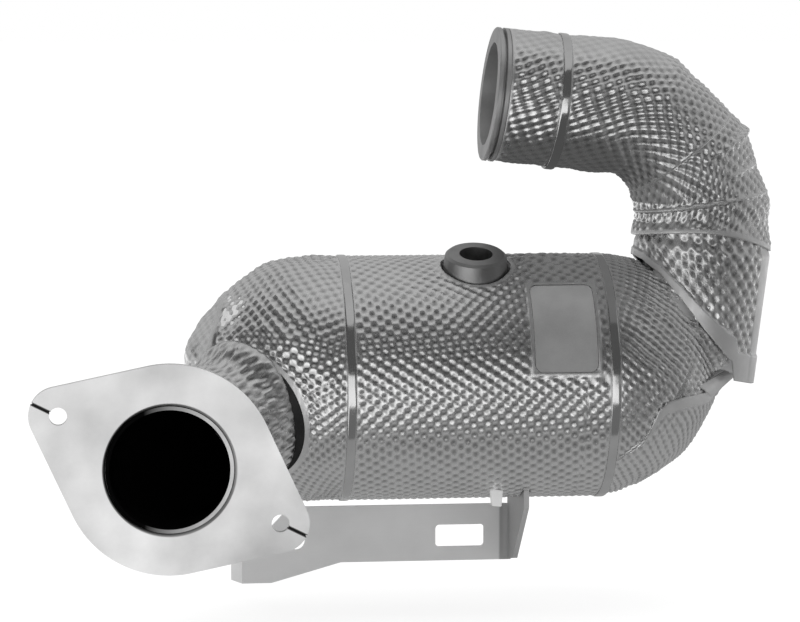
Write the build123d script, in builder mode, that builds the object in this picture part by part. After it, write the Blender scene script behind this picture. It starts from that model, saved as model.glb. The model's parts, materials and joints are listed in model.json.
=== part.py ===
"""Close-coupled catalytic converter with embossed foil heat shields.

Millimetres, +Z up. The origin is the centre of the outlet flange's mating face, which
looks along -Y. The can lies along X: the gas comes in through the clamp flange at the
top right, turns down into the can, and leaves through the two-bolt flange at the left.
"""

import os
from math import cos, radians, sin, tan

from build123d import *

os.makedirs("parts", exist_ok=True)

# Where the can lies, from the centre of the outlet flange's face
can_x = 152.0
can_y = 90.0
can_z = 31.0

# Catalyst bricks and the can round them
brick_diameter = 101.6
brick_length = 52.0
brick_gap = 18.0
cell_pitch = 8.4
cell_wall = 1.6
mat_thickness = 3.2
can_wall = 1.2
can_end_run = 3.0
cone_wall = 1.5

# Heat insulation and the embossed foil over it
insulation_thickness = 4.3
shield_thickness = 1.5
hem_rise = 0.3
hem_width = 3.0

# Outlet end: a dome that starts a little past the straight can
dome_run = 15.0

# Outlet flange, pipe and neck shield
flange_bolt_circle = 115.5
flange_bolt_hole = 8.4
flange_slope = 26.8
flange_body_radius = 49.8
flange_ear_radius = 13.8
flange_thickness = 4.0
flange_chamfer = 1.2
flange_slit = 1.0
outlet_pipe_diameter = 60.0
outlet_pipe_wall = 1.75
outlet_pipe_recess = 0.8
outlet_fit = 0.25
outlet_corner_y = 24.0
outlet_bend_radius = 38.0
outlet_insulation = 1.8
neck_shield_start = 5.5
neck_opening_gap = 3.8
neck_opening_shift = 3.4

# Inlet pipe: flange, slightly sloping run, elbow and drop into the can's end
inlet_pipe_diameter = 54.0
inlet_pipe_wall = 1.5
drop_foot_run = 53.8
drop_foot_rise = 10.7
elbow_radius = 55.0
inlet_slope = 6.6
inlet_lean = 7.3
inlet_straight = 61.3
sleeve_end = 33.6
drop_straight = 6.3
skirt_length = 72.0
skirt_cut_run = 36.5
skirt_cut_drop = 5.2
skirt_cut_slope = 49.0

# Clamp flange on the inlet
clamp_rim_radius = 33.2
clamp_groove_radius = 30.6
clamp_lip = 2.0
clamp_groove = 1.8
clamp_collar = 2.2
clamp_edge = 0.5

# Inlet hood: how far the drop pipe's socket stops short of the can's radius in depth
socket_margin = 13.2

# Sensor boss between the bricks
boss_x = 0.5
boss_tilt = 19.0
boss_diameter = 30.0
boss_base_diameter = 34.0
boss_height = 11.6
boss_chamfer = 1.2
boss_seat_depth = 3.0
sensor_bore = 16.4

# Straps round the shields
strap_width = 5.5
strap_thickness = 0.4

# Bare plate in the shield's window
window_inset = 24.0
window_length = 31.0
window_height = 47.0
window_angle = 31.0
window_corner = 4.0
plate_thickness = 0.8

# Bracket of folded sheet under the can
bracket_sheet = 2.5
bracket_y = 30.0
bracket_fold_x = 24.0
bracket_top_z = -70.0
bracket_bottom_z = -99.0
bracket_foot_z = -109.0
bracket_left_x = -112.5
bracket_shoulder_x = -88.0
bracket_shoulder_z = -96.0
bracket_foot_width = 15.0
bracket_ramp_end_x = -62.0
bracket_bend = 3.0
bracket_tab = 12.0
bracket_tab_angle = 65.0
gusset_front_y = -28.0
gusset_front_z = -62.5
gusset_heel_y = 12.0
gusset_heel_z = -95.0
bracket_hole = 9.4
bracket_hole_x = -85.0
bracket_hole_z = -87.5
slot_x = -0.8
slot_z = -86.2
slot_length = 25.0
slot_height = 11.5
slot_corner = 2.0

# Play between pieces that only lie against each other
clearance = 0.25
ring_thickness = 0.8
parting_run = 51.0
parting_z = -6.0
parting_slope = 32.0
boss_clearance = 0.3

# Radii worked out from the sizes above
brick_radius = brick_diameter / 2
mat_radius = brick_radius + mat_thickness
can_radius = mat_radius + can_wall
can_insulation_radius = can_radius + insulation_thickness
shield_radius = can_insulation_radius + shield_thickness
inlet_pipe_radius = inlet_pipe_diameter / 2
inlet_insulation_radius = inlet_pipe_radius + insulation_thickness
inlet_shield_radius = inlet_insulation_radius + shield_thickness
outlet_pipe_radius = outlet_pipe_diameter / 2
outlet_insulation_radius = outlet_pipe_radius + outlet_insulation
outlet_shield_radius = outlet_insulation_radius + shield_thickness
neck_opening_radius = outlet_shield_radius + neck_opening_gap
hood_cover = insulation_thickness + shield_thickness
boss_top_radius = can_radius + boss_height
socket_depth = can_radius - socket_margin

# Lengths along the can
brick_stack = 2 * brick_length + brick_gap
can_half = brick_stack / 2 + can_end_run
window_x = can_half - window_inset

can_centre = Vector(can_x, can_y, can_z)
can_axis = Axis(can_centre, (1, 0, 0))
dome_centre = can_centre - Vector(can_half + dome_run, 0, 0)


def across_can(x):
    """The plane square to the can's axis at x from its centre."""
    return Plane(origin=can_centre + Vector(x, 0, 0), x_dir=(0, 1, 0), z_dir=(1, 0, 0))


can_side = Plane(origin=can_centre, x_dir=(1, 0, 0), z_dir=(0, -1, 0))


# Inlet pipe's centre line, in the can's middle plane
run_way = Vector(cos(radians(inlet_slope)), 0, -sin(radians(inlet_slope)))
drop_way = Vector(-sin(radians(inlet_lean)), 0, -cos(radians(inlet_lean)))
elbow_turn = run_way.get_angle(drop_way)
elbow_tangent = elbow_radius * tan(radians(elbow_turn / 2))
inlet_foot = can_centre + Vector(can_half + drop_foot_run, 0, can_radius + drop_foot_rise)
elbow_corner = inlet_foot - drop_way * (drop_straight + elbow_tangent)
inlet_face = elbow_corner - run_way * (inlet_straight + elbow_tangent)
elbow_start = elbow_corner - run_way * elbow_tangent
elbow_end = elbow_corner + drop_way * elbow_tangent
elbow_centre = elbow_start + Vector(-sin(radians(inlet_slope)), 0, -cos(radians(inlet_slope))) * elbow_radius
elbow_axis = Axis(elbow_centre, (0, 1, 0))
run_plane = Plane(origin=inlet_face, x_dir=(0, 1, 0), z_dir=run_way)
run_side = Plane(origin=inlet_face, x_dir=run_way, z_dir=(0, -1, 0))
elbow_plane = Plane(origin=elbow_start, x_dir=(0, 1, 0), z_dir=run_way)
foot_plane = Plane(origin=inlet_foot, x_dir=(0, 1, 0), z_dir=drop_way)

# Outlet pipe's centre line: straight out of the dome's centre, then square to the flange
outlet_start = Vector(0, outlet_pipe_recess, 0)
outlet_corner = Vector(0, outlet_corner_y, 0)
outlet_way = (dome_centre - outlet_corner).normalized()
outlet_reach = (dome_centre - outlet_corner).length - can_radius / 2


def hood_solid(cover):
    """The inlet hood's closed form: a half ball on the can's end, and the drop pipe's socket in it."""
    with BuildPart(mode=Mode.PRIVATE) as hood:
        with BuildSketch(can_side):
            with BuildLine():
                foot = (can_half, 0)
                shoulder = (can_half, can_radius + cover)
                pole = (can_half + can_radius + cover, 0)
                Line(foot, shoulder)
                RadiusArc(shoulder, pole, can_radius + cover)
                Line(pole, foot)
            make_face()
        revolve(axis=can_axis)
        with BuildSketch(foot_plane):
            Circle(inlet_pipe_radius + cover)
        extrude(amount=socket_depth)
        with Locations(inlet_foot + drop_way * socket_depth):
            Sphere(inlet_pipe_radius + cover)
    return hood.part


def dome_solid(radius):
    """The closed form of the outlet dome: a straight run from the can, then a half ball."""
    with BuildPart(mode=Mode.PRIVATE) as dome:
        with BuildSketch(can_side):
            with BuildLine():
                foot = (-can_half, 0)
                shoulder = (-can_half, radius)
                crown = (-can_half - dome_run, radius)
                pole = (-can_half - dome_run - radius, 0)
                Line(foot, shoulder)
                Line(shoulder, crown)
                RadiusArc(crown, pole, -radius)
                Line(pole, foot)
            make_face()
        revolve(axis=can_axis)
    return dome.part


def near(edge, radius):
    """Whether an edge is a full circle of this radius."""
    return edge.geom_type == GeomType.CIRCLE and edge.is_closed and abs(edge.radius - radius) < 0.01


def outlet_line():
    """The outlet pipe's centre line, from the flange into the dome."""
    with BuildLine(mode=Mode.PRIVATE) as route:
        FilletPolyline(
            outlet_start,
            outlet_corner,
            outlet_corner + outlet_way * outlet_reach,
            radius=outlet_bend_radius,
        )
    return route.line


def inlet_line():
    """The inlet pipe's centre line, from the clamp flange to the hood."""
    with BuildLine(mode=Mode.PRIVATE) as route:
        FilletPolyline(inlet_face, elbow_corner, inlet_foot, radius=elbow_radius)
    return route.line


boss_plane = Plane(
    origin=can_centre + Vector(boss_x, 0, 0),
    x_dir=(1, 0, 0),
    z_dir=(0, -sin(radians(boss_tilt)), cos(radians(boss_tilt))),
)


def boss_cylinder(radius):
    """A closed cylinder on the sensor boss's axis, from the can's axis outwards."""
    with BuildPart(mode=Mode.PRIVATE) as cylinder:
        with BuildSketch(boss_plane):
            Circle(radius)
        extrude(amount=2 * shield_radius)
    return cylinder.part


def can_cylinder(radius, start=-can_half, length=2 * can_half):
    """A closed cylinder on the can's axis."""
    with BuildPart(mode=Mode.PRIVATE) as cylinder:
        with BuildSketch(across_can(start)):
            Circle(radius)
        extrude(amount=length)
    return cylinder.part


opening_way = (Vector(1, 0, 0) - outlet_way * outlet_way.X).normalized()


def outlet_cylinder(radius, shift=0.0, length=2 * shield_radius):
    """A closed cylinder along the outlet pipe's axis, from the dome's centre outwards."""
    with BuildPart(mode=Mode.PRIVATE) as cylinder:
        with BuildSketch(Plane(origin=dome_centre + opening_way * shift, z_dir=-outlet_way)):
            Circle(radius)
        extrude(amount=length)
    return cylinder.part


outlet_route = outlet_line()
inlet_route = inlet_line()

# Catalyst bricks: square channels that run the whole length, inside a plain skin
cell_count = int(brick_diameter / cell_pitch)
cell_size = cell_pitch - cell_wall
cell_reach = brick_radius - cell_wall


def fits_in_brick(column, row):
    """Whether a channel lies wholly inside the brick's skin."""
    far_corner = Vector(abs(column) * cell_pitch + cell_size / 2, abs(row) * cell_pitch + cell_size / 2)
    return far_corner.length < cell_reach


cell_middles = [
    (column * cell_pitch, row * cell_pitch)
    for column in range(-cell_count, cell_count + 1)
    for row in range(-cell_count, cell_count + 1)
    if fits_in_brick(column, row)
]

with BuildPart() as first_catalyst_brick:
    with BuildSketch(across_can(brick_gap / 2)):
        Circle(brick_radius)
        with Locations(*cell_middles):
            Rectangle(cell_size, cell_size, mode=Mode.SUBTRACT)
    extrude(amount=brick_length)
first_catalyst_brick.part.label = "first_catalyst_brick"
export_step(first_catalyst_brick.part, "parts/first_catalyst_brick.step")

with BuildPart() as second_catalyst_brick:
    with BuildSketch(across_can(-brick_gap / 2)):
        Circle(brick_radius)
        with Locations(*cell_middles):
            Rectangle(cell_size, cell_size, mode=Mode.SUBTRACT)
    extrude(amount=-brick_length)
second_catalyst_brick.part.label = "second_catalyst_brick"
export_step(second_catalyst_brick.part, "parts/second_catalyst_brick.step")

# Swelling fibre mats that hold the bricks in the can
with BuildPart() as first_support_mat:
    with BuildSketch(across_can(brick_gap / 2)):
        Circle(mat_radius)
        Circle(brick_radius, mode=Mode.SUBTRACT)
    extrude(amount=brick_length)
first_support_mat.part.label = "first_support_mat"
export_step(first_support_mat.part, "parts/first_support_mat.step")

with BuildPart() as second_support_mat:
    with BuildSketch(across_can(-brick_gap / 2)):
        Circle(mat_radius)
        Circle(brick_radius, mode=Mode.SUBTRACT)
    extrude(amount=-brick_length)
second_support_mat.part.label = "second_support_mat"
export_step(second_support_mat.part, "parts/second_support_mat.step")

# Steel can, with the hole that the sensor looks through
sensor_hole = boss_cylinder(sensor_bore / 2)
with BuildPart() as can_shell:
    with BuildSketch(across_can(-can_half)):
        Circle(can_radius)
        Circle(mat_radius, mode=Mode.SUBTRACT)
    extrude(amount=2 * can_half)
    add(sensor_hole, mode=Mode.SUBTRACT)
can_shell.part.label = "can_shell"
export_step(can_shell.part, "parts/can_shell.step")

# Threaded boss for the exhaust sensor, saddled on the can
can_body = can_cylinder(can_radius)
with BuildPart() as sensor_boss:
    with BuildSketch(boss_plane.offset(can_radius - boss_seat_depth)):
        Circle(boss_base_diameter / 2)
    with BuildSketch(boss_plane.offset(boss_top_radius)):
        Circle(boss_diameter / 2)
    loft()
    boss_top = sensor_boss.faces().sort_by(Axis(boss_plane.origin, boss_plane.z_dir))[-1]
    chamfer(boss_top.edges(), boss_chamfer)
    add(can_body, mode=Mode.SUBTRACT)
    add(sensor_hole, mode=Mode.SUBTRACT)
sensor_boss.part.label = "sensor_boss"
export_step(sensor_boss.part, "parts/sensor_boss.step")

# Outlet dome of the can, open where the outlet pipe is welded on
dome_outside = dome_solid(can_radius)
dome_inside = dome_solid(can_radius - cone_wall)
outlet_gas_way = outlet_cylinder(outlet_pipe_radius - outlet_pipe_wall)
with BuildPart() as outlet_dome:
    add(dome_outside)
    add(dome_inside, mode=Mode.SUBTRACT)
    add(outlet_gas_way, mode=Mode.SUBTRACT)
outlet_dome.part.label = "outlet_dome"
export_step(outlet_dome.part, "parts/outlet_dome.step")

# Inlet hood of the can, which turns the gas out of the drop pipe into the bricks
hood_outside = hood_solid(0)
hood_inside = hood_solid(-cone_wall)
with BuildPart() as inlet_hood:
    add(hood_outside)
    add(hood_inside, mode=Mode.SUBTRACT)
inlet_hood.part.label = "inlet_hood"
export_step(inlet_hood.part, "parts/inlet_hood.step")

# Inlet pipe: run, elbow and drop
with BuildPart() as inlet_pipe:
    with BuildSketch(run_plane):
        Circle(inlet_pipe_radius)
        Circle(inlet_pipe_radius - inlet_pipe_wall, mode=Mode.SUBTRACT)
    sweep(path=inlet_route)
inlet_pipe.part.label = "inlet_pipe"
export_step(inlet_pipe.part, "parts/inlet_pipe.step")

# Conical clamp flange turned from bar, with a groove for the clamp between lip and collar
groove_start = clamp_lip
groove_end = groove_start + clamp_groove
collar_end = groove_end + clamp_collar
with BuildPart() as inlet_clamp_flange:
    with BuildSketch(run_side):
        with BuildLine():
            Polyline(
                (0, inlet_pipe_radius),
                (0, clamp_rim_radius - clamp_edge),
                (clamp_edge, clamp_rim_radius),
                (groove_start, clamp_rim_radius),
                (groove_start + clamp_edge, clamp_groove_radius),
                (groove_end - clamp_edge, clamp_groove_radius),
                (groove_end, clamp_rim_radius),
                (collar_end - clamp_edge, clamp_rim_radius),
                (collar_end, clamp_rim_radius - clamp_edge),
                (collar_end, inlet_pipe_radius),
                close=True,
            )
        make_face()
    revolve(axis=Axis(inlet_face, run_way))
inlet_clamp_flange.part.label = "inlet_clamp_flange"
export_step(inlet_clamp_flange.part, "parts/inlet_clamp_flange.step")

# Outlet pipe, saddled on the dome and slipped into the flange
with BuildPart() as outlet_pipe:
    with BuildSketch(Plane(origin=outlet_start, z_dir=(0, 1, 0))):
        Circle(outlet_pipe_radius)
        Circle(outlet_pipe_radius - outlet_pipe_wall, mode=Mode.SUBTRACT)
    sweep(path=outlet_route)
    add(dome_outside, mode=Mode.SUBTRACT)
outlet_pipe.part.label = "outlet_pipe"
export_step(outlet_pipe.part, "parts/outlet_pipe.step")

# Outlet flange: round body with an ear at each bolt, each ear slit out to its tip
ear_reach = flange_bolt_circle / 2
bolt_line = (cos(radians(flange_slope)), 0, -sin(radians(flange_slope)))
with BuildPart() as outlet_flange:
    with BuildSketch(Plane(origin=(0, 0, 0), x_dir=bolt_line, z_dir=(0, 1, 0))):
        Circle(flange_body_radius)
        with Locations((ear_reach, 0), (-ear_reach, 0)):
            Circle(flange_ear_radius)
        make_hull()
        Circle(outlet_pipe_radius + outlet_fit, mode=Mode.SUBTRACT)
        with Locations((ear_reach, 0), (-ear_reach, 0)):
            Circle(flange_bolt_hole / 2, mode=Mode.SUBTRACT)
        with Locations((ear_reach + flange_ear_radius / 2, 0), (-ear_reach - flange_ear_radius / 2, 0)):
            Rectangle(flange_ear_radius + flange_slit, flange_slit, mode=Mode.SUBTRACT)
    extrude(amount=flange_thickness)
    bore_radius = outlet_pipe_radius + outlet_fit
    bore_rim = outlet_flange.edges().group_by(Axis.Y)[0].filter_by(lambda e: near(e, bore_radius))
    chamfer(bore_rim, flange_chamfer)
outlet_flange.part.label = "outlet_flange"
export_step(outlet_flange.part, "parts/outlet_flange.step")

# Folded bracket: an upright plate behind the can's middle and a gusset welded under the can
plate_plane = Plane(origin=can_centre + Vector(0, bracket_y, 0), x_dir=(1, 0, 0), z_dir=(0, -1, 0))
gusset_plane = Plane(origin=can_centre + Vector(bracket_fold_x, 0, 0), x_dir=(0, 1, 0), z_dir=(1, 0, 0))
tab_way = Vector(-cos(radians(bracket_tab_angle)), sin(radians(bracket_tab_angle)), 0)
plate_back_y = bracket_y + bracket_sheet
tab_root = can_centre + Vector(bracket_left_x, bracket_y, bracket_shoulder_z)
fold_z = (bracket_top_z + bracket_bottom_z) / 2
inner_fold_point = Vector(bracket_fold_x, bracket_y, fold_z)
outer_fold_point = Vector(bracket_fold_x + bracket_sheet, plate_back_y, fold_z)


def gusset_outline(play):
    """The gusset's face, grown by some play."""
    with BuildSketch(Plane.XY, mode=Mode.PRIVATE) as outline:
        Polygon(
            (gusset_front_y - play, 0),
            (gusset_front_y - play, gusset_front_z),
            (gusset_heel_y, gusset_heel_z),
            (plate_back_y + play, bracket_bottom_z),
            (plate_back_y + play, 0),
            align=None,
        )
    return outline.sketch


with BuildPart() as bracket:
    with BuildSketch(gusset_plane):
        add(gusset_outline(0))
    extrude(amount=bracket_sheet)
    with BuildSketch(plate_plane):
        Polygon(
            (bracket_fold_x + bracket_sheet, bracket_top_z),
            (bracket_fold_x + bracket_sheet, bracket_bottom_z),
            (bracket_ramp_end_x, bracket_bottom_z),
            (bracket_left_x + bracket_foot_width, bracket_foot_z),
            (bracket_left_x, bracket_foot_z),
            (bracket_left_x, bracket_shoulder_z),
            (bracket_shoulder_x, bracket_top_z),
            align=None,
        )
        with Locations((slot_x, slot_z)):
            RectangleRounded(slot_length, slot_height, slot_corner, mode=Mode.SUBTRACT)
        with Locations((bracket_hole_x, bracket_hole_z)):
            Circle(bracket_hole / 2, mode=Mode.SUBTRACT)
    extrude(amount=-bracket_sheet)
    with BuildSketch(Plane(origin=tab_root, x_dir=tab_way, z_dir=(0, 0, -1))):
        Rectangle(bracket_tab, bracket_sheet, align=(Align.MIN, Align.MIN))
    extrude(amount=bracket_shoulder_z - bracket_foot_z)
    add(can_body, mode=Mode.SUBTRACT)
    inner_fold = bracket.edges().filter_by(Axis.Z).sort_by_distance(can_centre + inner_fold_point)[0]
    fillet(inner_fold, bracket_bend)
    outer_fold = bracket.edges().filter_by(Axis.Z).sort_by_distance(can_centre + outer_fold_point)[0]
    fillet(outer_fold, bracket_bend + bracket_sheet)
bracket.part.label = "bracket"
export_step(bracket.part, "parts/bracket.step")

with BuildPart(mode=Mode.PRIVATE) as gusset_room:
    with BuildSketch(gusset_plane.offset(-clearance)):
        add(gusset_outline(clearance))
    extrude(amount=bracket_sheet + 2 * clearance)

# Heat insulation: fibre blankets between the steel and the foil
boss_room = boss_cylinder(boss_base_diameter / 2 + boss_clearance)
with BuildPart() as can_insulation:
    with BuildSketch(across_can(-can_half)):
        Circle(can_insulation_radius)
        Circle(can_radius, mode=Mode.SUBTRACT)
    extrude(amount=2 * can_half)
    add(boss_room, mode=Mode.SUBTRACT)
    add(gusset_room.part, mode=Mode.SUBTRACT)
can_insulation.part.label = "can_insulation"
export_step(can_insulation.part, "parts/can_insulation.step")

dome_blanket = dome_solid(can_insulation_radius)
outlet_pipe_body = outlet_cylinder(outlet_pipe_radius)
with BuildPart() as outlet_dome_insulation:
    add(dome_blanket)
    add(dome_outside, mode=Mode.SUBTRACT)
    add(outlet_pipe_body, mode=Mode.SUBTRACT)
outlet_dome_insulation.part.label = "outlet_dome_insulation"
export_step(outlet_dome_insulation.part, "parts/outlet_dome_insulation.step")

hood_blanket = hood_solid(insulation_thickness)
with BuildPart() as inlet_hood_insulation:
    add(hood_blanket)
    add(hood_outside, mode=Mode.SUBTRACT)
inlet_hood_insulation.part.label = "inlet_hood_insulation"
export_step(inlet_hood_insulation.part, "parts/inlet_hood_insulation.step")

blanket_plane = Plane(origin=inlet_face + run_way * collar_end, x_dir=(0, 1, 0), z_dir=run_way)
with BuildLine() as blanket_route:
    FilletPolyline(inlet_face + run_way * collar_end, elbow_corner, inlet_foot, radius=elbow_radius)
with BuildPart() as inlet_pipe_insulation:
    with BuildSketch(blanket_plane):
        Circle(inlet_insulation_radius)
        Circle(inlet_pipe_radius, mode=Mode.SUBTRACT)
    sweep(path=blanket_route.line)
inlet_pipe_insulation.part.label = "inlet_pipe_insulation"
export_step(inlet_pipe_insulation.part, "parts/inlet_pipe_insulation.step")

neck_start = Vector(0, neck_shield_start, 0)
with BuildLine() as neck_route:
    FilletPolyline(
        neck_start,
        outlet_corner,
        outlet_corner + outlet_way * outlet_reach,
        radius=outlet_bend_radius,
    )
with BuildPart() as outlet_pipe_insulation:
    with BuildSketch(Plane(origin=neck_start, z_dir=(0, 1, 0))):
        Circle(outlet_insulation_radius)
        Circle(outlet_pipe_radius, mode=Mode.SUBTRACT)
    sweep(path=neck_route.line)
    add(dome_blanket, mode=Mode.SUBTRACT)
outlet_pipe_insulation.part.label = "outlet_pipe_insulation"
export_step(outlet_pipe_insulation.part, "parts/outlet_pipe_insulation.step")

# Foil shield round the straight can, with a rolled hem at each end and a window
window_plane = Plane(
    origin=can_centre + Vector(window_x, 0, 0),
    x_dir=(1, 0, 0),
    z_dir=(0, -cos(radians(window_angle)), sin(radians(window_angle))),
)


def window_block(play, length=2 * shield_radius):
    """A bar through the window, grown by some play, from the can's axis outwards."""
    with BuildPart(mode=Mode.PRIVATE) as block:
        with BuildSketch(window_plane):
            RectangleRounded(window_length + 2 * play, window_height + 2 * play, window_corner + play)
        extrude(amount=length)
    return block.part


window_hole = window_block(0)
hem_radius = shield_radius + hem_rise
with BuildPart() as can_shield:
    with BuildSketch(can_side):
        with BuildLine():
            Polyline(
                (-can_half, can_insulation_radius),
                (-can_half, hem_radius),
                (-can_half + hem_width, hem_radius),
                (-can_half + hem_width + hem_rise, shield_radius),
                (can_half - hem_width - hem_rise, shield_radius),
                (can_half - hem_width, hem_radius),
                (can_half, hem_radius),
                (can_half, can_insulation_radius),
                close=True,
            )
        make_face()
    revolve(axis=can_axis)
    add(window_hole, mode=Mode.SUBTRACT)
    add(boss_room, mode=Mode.SUBTRACT)
    add(gusset_room.part, mode=Mode.SUBTRACT)
can_shield.part.label = "can_shield"
export_step(can_shield.part, "parts/can_shield.step")

# Bare plate that lies in the window, on the insulation
plate_block = window_block(-clearance)
with BuildPart() as window_plate:
    with BuildSketch(across_can(window_x - window_length)):
        Circle(can_insulation_radius + plate_thickness)
        Circle(can_insulation_radius, mode=Mode.SUBTRACT)
    extrude(amount=2 * window_length)
    add(plate_block, mode=Mode.INTERSECT)
window_plate.part.label = "window_plate"
export_step(window_plate.part, "parts/window_plate.step")

# Foil dome over the outlet end, open round the neck
dome_skin = dome_solid(shield_radius)
neck_opening = outlet_cylinder(neck_opening_radius, neck_opening_shift)
with BuildPart() as outlet_dome_shield:
    add(dome_skin)
    add(dome_blanket, mode=Mode.SUBTRACT)
    add(neck_opening, mode=Mode.SUBTRACT)
outlet_dome_shield.part.label = "outlet_dome_shield"
export_step(outlet_dome_shield.part, "parts/outlet_dome_shield.step")

# Dished ring that closes the gap between the dome's opening and the neck
ring_inside = outlet_cylinder(outlet_shield_radius)
ring_outside = outlet_cylinder(neck_opening_radius, neck_opening_shift)
with BuildPart() as outlet_shield_ring:
    add(dome_solid(can_insulation_radius + ring_thickness))
    add(dome_blanket, mode=Mode.SUBTRACT)
    add(ring_outside, mode=Mode.INTERSECT)
    add(ring_inside, mode=Mode.SUBTRACT)
outlet_shield_ring.part.label = "outlet_shield_ring"
export_step(outlet_shield_ring.part, "parts/outlet_shield_ring.step")

# Foil neck round the outlet pipe
with BuildPart() as outlet_neck_shield:
    with BuildSketch(Plane(origin=neck_start, z_dir=(0, 1, 0))):
        Circle(outlet_shield_radius)
        Circle(outlet_insulation_radius, mode=Mode.SUBTRACT)
    sweep(path=neck_route.line)
    add(dome_blanket, mode=Mode.SUBTRACT)
outlet_neck_shield.part.label = "outlet_neck_shield"
export_step(outlet_neck_shield.part, "parts/outlet_neck_shield.step")

# Foil over the inlet hood: two half shells that meet along the can's side
hood_skin = hood_solid(hood_cover)
hood_parting = Plane(
    origin=can_centre + Vector(can_half + parting_run, 0, parting_z),
    x_dir=(0, 1, 0),
    z_dir=(-sin(radians(parting_slope)), 0, cos(radians(parting_slope))),
)
with BuildPart() as inlet_hood_shield_upper:
    add(hood_skin)
    add(hood_blanket, mode=Mode.SUBTRACT)
    split(bisect_by=hood_parting, keep=Keep.TOP)
inlet_hood_shield_upper.part.label = "inlet_hood_shield_upper"
export_step(inlet_hood_shield_upper.part, "parts/inlet_hood_shield_upper.step")

with BuildPart() as inlet_hood_shield_lower:
    add(hood_skin)
    add(hood_blanket, mode=Mode.SUBTRACT)
    split(bisect_by=hood_parting, keep=Keep.BOTTOM)
inlet_hood_shield_lower.part.label = "inlet_hood_shield_lower"
export_step(inlet_hood_shield_lower.part, "parts/inlet_hood_shield_lower.step")

# Foil sleeve on the inlet pipe's run, from the clamp flange to the elbow
with BuildPart() as inlet_run_shield:
    with BuildSketch(blanket_plane):
        Circle(inlet_shield_radius)
        Circle(inlet_insulation_radius, mode=Mode.SUBTRACT)
    extrude(amount=sleeve_end - collar_end)
inlet_run_shield.part.label = "inlet_run_shield"
export_step(inlet_run_shield.part, "parts/inlet_run_shield.step")

# Foil elbow in two lobes, the first with the last stretch of the run
with BuildPart() as elbow_shield_first:
    with BuildSketch(Plane(origin=inlet_face + run_way * sleeve_end, x_dir=(0, 1, 0), z_dir=run_way)):
        Circle(inlet_shield_radius)
        Circle(inlet_insulation_radius, mode=Mode.SUBTRACT)
    extrude(amount=inlet_straight - sleeve_end)
    with BuildSketch(elbow_plane):
        Circle(inlet_shield_radius)
        Circle(inlet_insulation_radius, mode=Mode.SUBTRACT)
    revolve(axis=elbow_axis, revolution_arc=elbow_turn / 2)
elbow_shield_first.part.label = "elbow_shield_first"
export_step(elbow_shield_first.part, "parts/elbow_shield_first.step")

elbow_half_way = run_way.rotate(Axis.Y, elbow_turn / 2)
elbow_mid_plane = Plane(
    origin=elbow_centre + (elbow_start - elbow_centre).rotate(Axis.Y, elbow_turn / 2),
    x_dir=(0, 1, 0),
    z_dir=elbow_half_way,
)
with BuildPart() as elbow_shield_second:
    with BuildSketch(elbow_mid_plane):
        Circle(inlet_shield_radius)
        Circle(inlet_insulation_radius, mode=Mode.SUBTRACT)
    revolve(axis=elbow_axis, revolution_arc=elbow_turn / 2)
    with BuildSketch(Plane(origin=elbow_end, x_dir=(0, 1, 0), z_dir=drop_way)):
        Circle(inlet_shield_radius)
        Circle(inlet_insulation_radius, mode=Mode.SUBTRACT)
    extrude(amount=drop_straight)
elbow_shield_second.part.label = "elbow_shield_second"
export_step(elbow_shield_second.part, "parts/elbow_shield_second.step")

# Foil skirt that hangs from the elbow over the hood, cut away in a slant above the half ball
skirt_radius = inlet_shield_radius + shield_thickness
skirt_slant = Plane(
    origin=can_centre + Vector(can_half + skirt_cut_run, 0, can_radius - skirt_cut_drop),
    x_dir=(0, 1, 0),
    z_dir=(sin(radians(skirt_cut_slope)), 0, cos(radians(skirt_cut_slope))),
)
with BuildPart() as inlet_skirt_front:
    with BuildSketch(foot_plane):
        Circle(skirt_radius)
        Circle(inlet_shield_radius, mode=Mode.SUBTRACT)
    extrude(amount=skirt_length)
    add(hood_skin, mode=Mode.SUBTRACT)
    split(bisect_by=skirt_slant, keep=Keep.TOP)
    split(bisect_by=Plane(origin=can_centre, z_dir=(0, -1, 0)), keep=Keep.TOP)
inlet_skirt_front.part.label = "inlet_skirt_front"
export_step(inlet_skirt_front.part, "parts/inlet_skirt_front.step")

with BuildPart() as inlet_skirt_back:
    with BuildSketch(foot_plane):
        Circle(skirt_radius)
        Circle(inlet_shield_radius, mode=Mode.SUBTRACT)
    extrude(amount=skirt_length)
    add(hood_skin, mode=Mode.SUBTRACT)
    split(bisect_by=skirt_slant, keep=Keep.TOP)
    split(bisect_by=Plane(origin=can_centre, z_dir=(0, -1, 0)), keep=Keep.BOTTOM)
inlet_skirt_back.part.label = "inlet_skirt_back"
export_step(inlet_skirt_back.part, "parts/inlet_skirt_back.step")

# Sprung straps over the shields' ends
with BuildPart() as outlet_side_strap:
    with BuildSketch(across_can(-can_half - strap_width / 2)):
        Circle(hem_radius + strap_thickness)
        Circle(hem_radius, mode=Mode.SUBTRACT)
    extrude(amount=strap_width)
outlet_side_strap.part.label = "outlet_side_strap"
export_step(outlet_side_strap.part, "parts/outlet_side_strap.step")

with BuildPart() as inlet_side_strap:
    with BuildSketch(across_can(can_half - strap_width / 2)):
        Circle(hem_radius + strap_thickness)
        Circle(hem_radius, mode=Mode.SUBTRACT)
    extrude(amount=strap_width)
inlet_side_strap.part.label = "inlet_side_strap"
export_step(inlet_side_strap.part, "parts/inlet_side_strap.step")

run_strap_start = inlet_face + run_way * (sleeve_end - strap_width / 2)
run_strap_plane = Plane(origin=run_strap_start, x_dir=(0, 1, 0), z_dir=run_way)
with BuildPart() as inlet_run_strap:
    with BuildSketch(run_strap_plane):
        Circle(inlet_shield_radius + strap_thickness)
        Circle(inlet_shield_radius, mode=Mode.SUBTRACT)
    extrude(amount=strap_width)
inlet_run_strap.part.label = "inlet_run_strap"
export_step(inlet_run_strap.part, "parts/inlet_run_strap.step")
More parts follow.
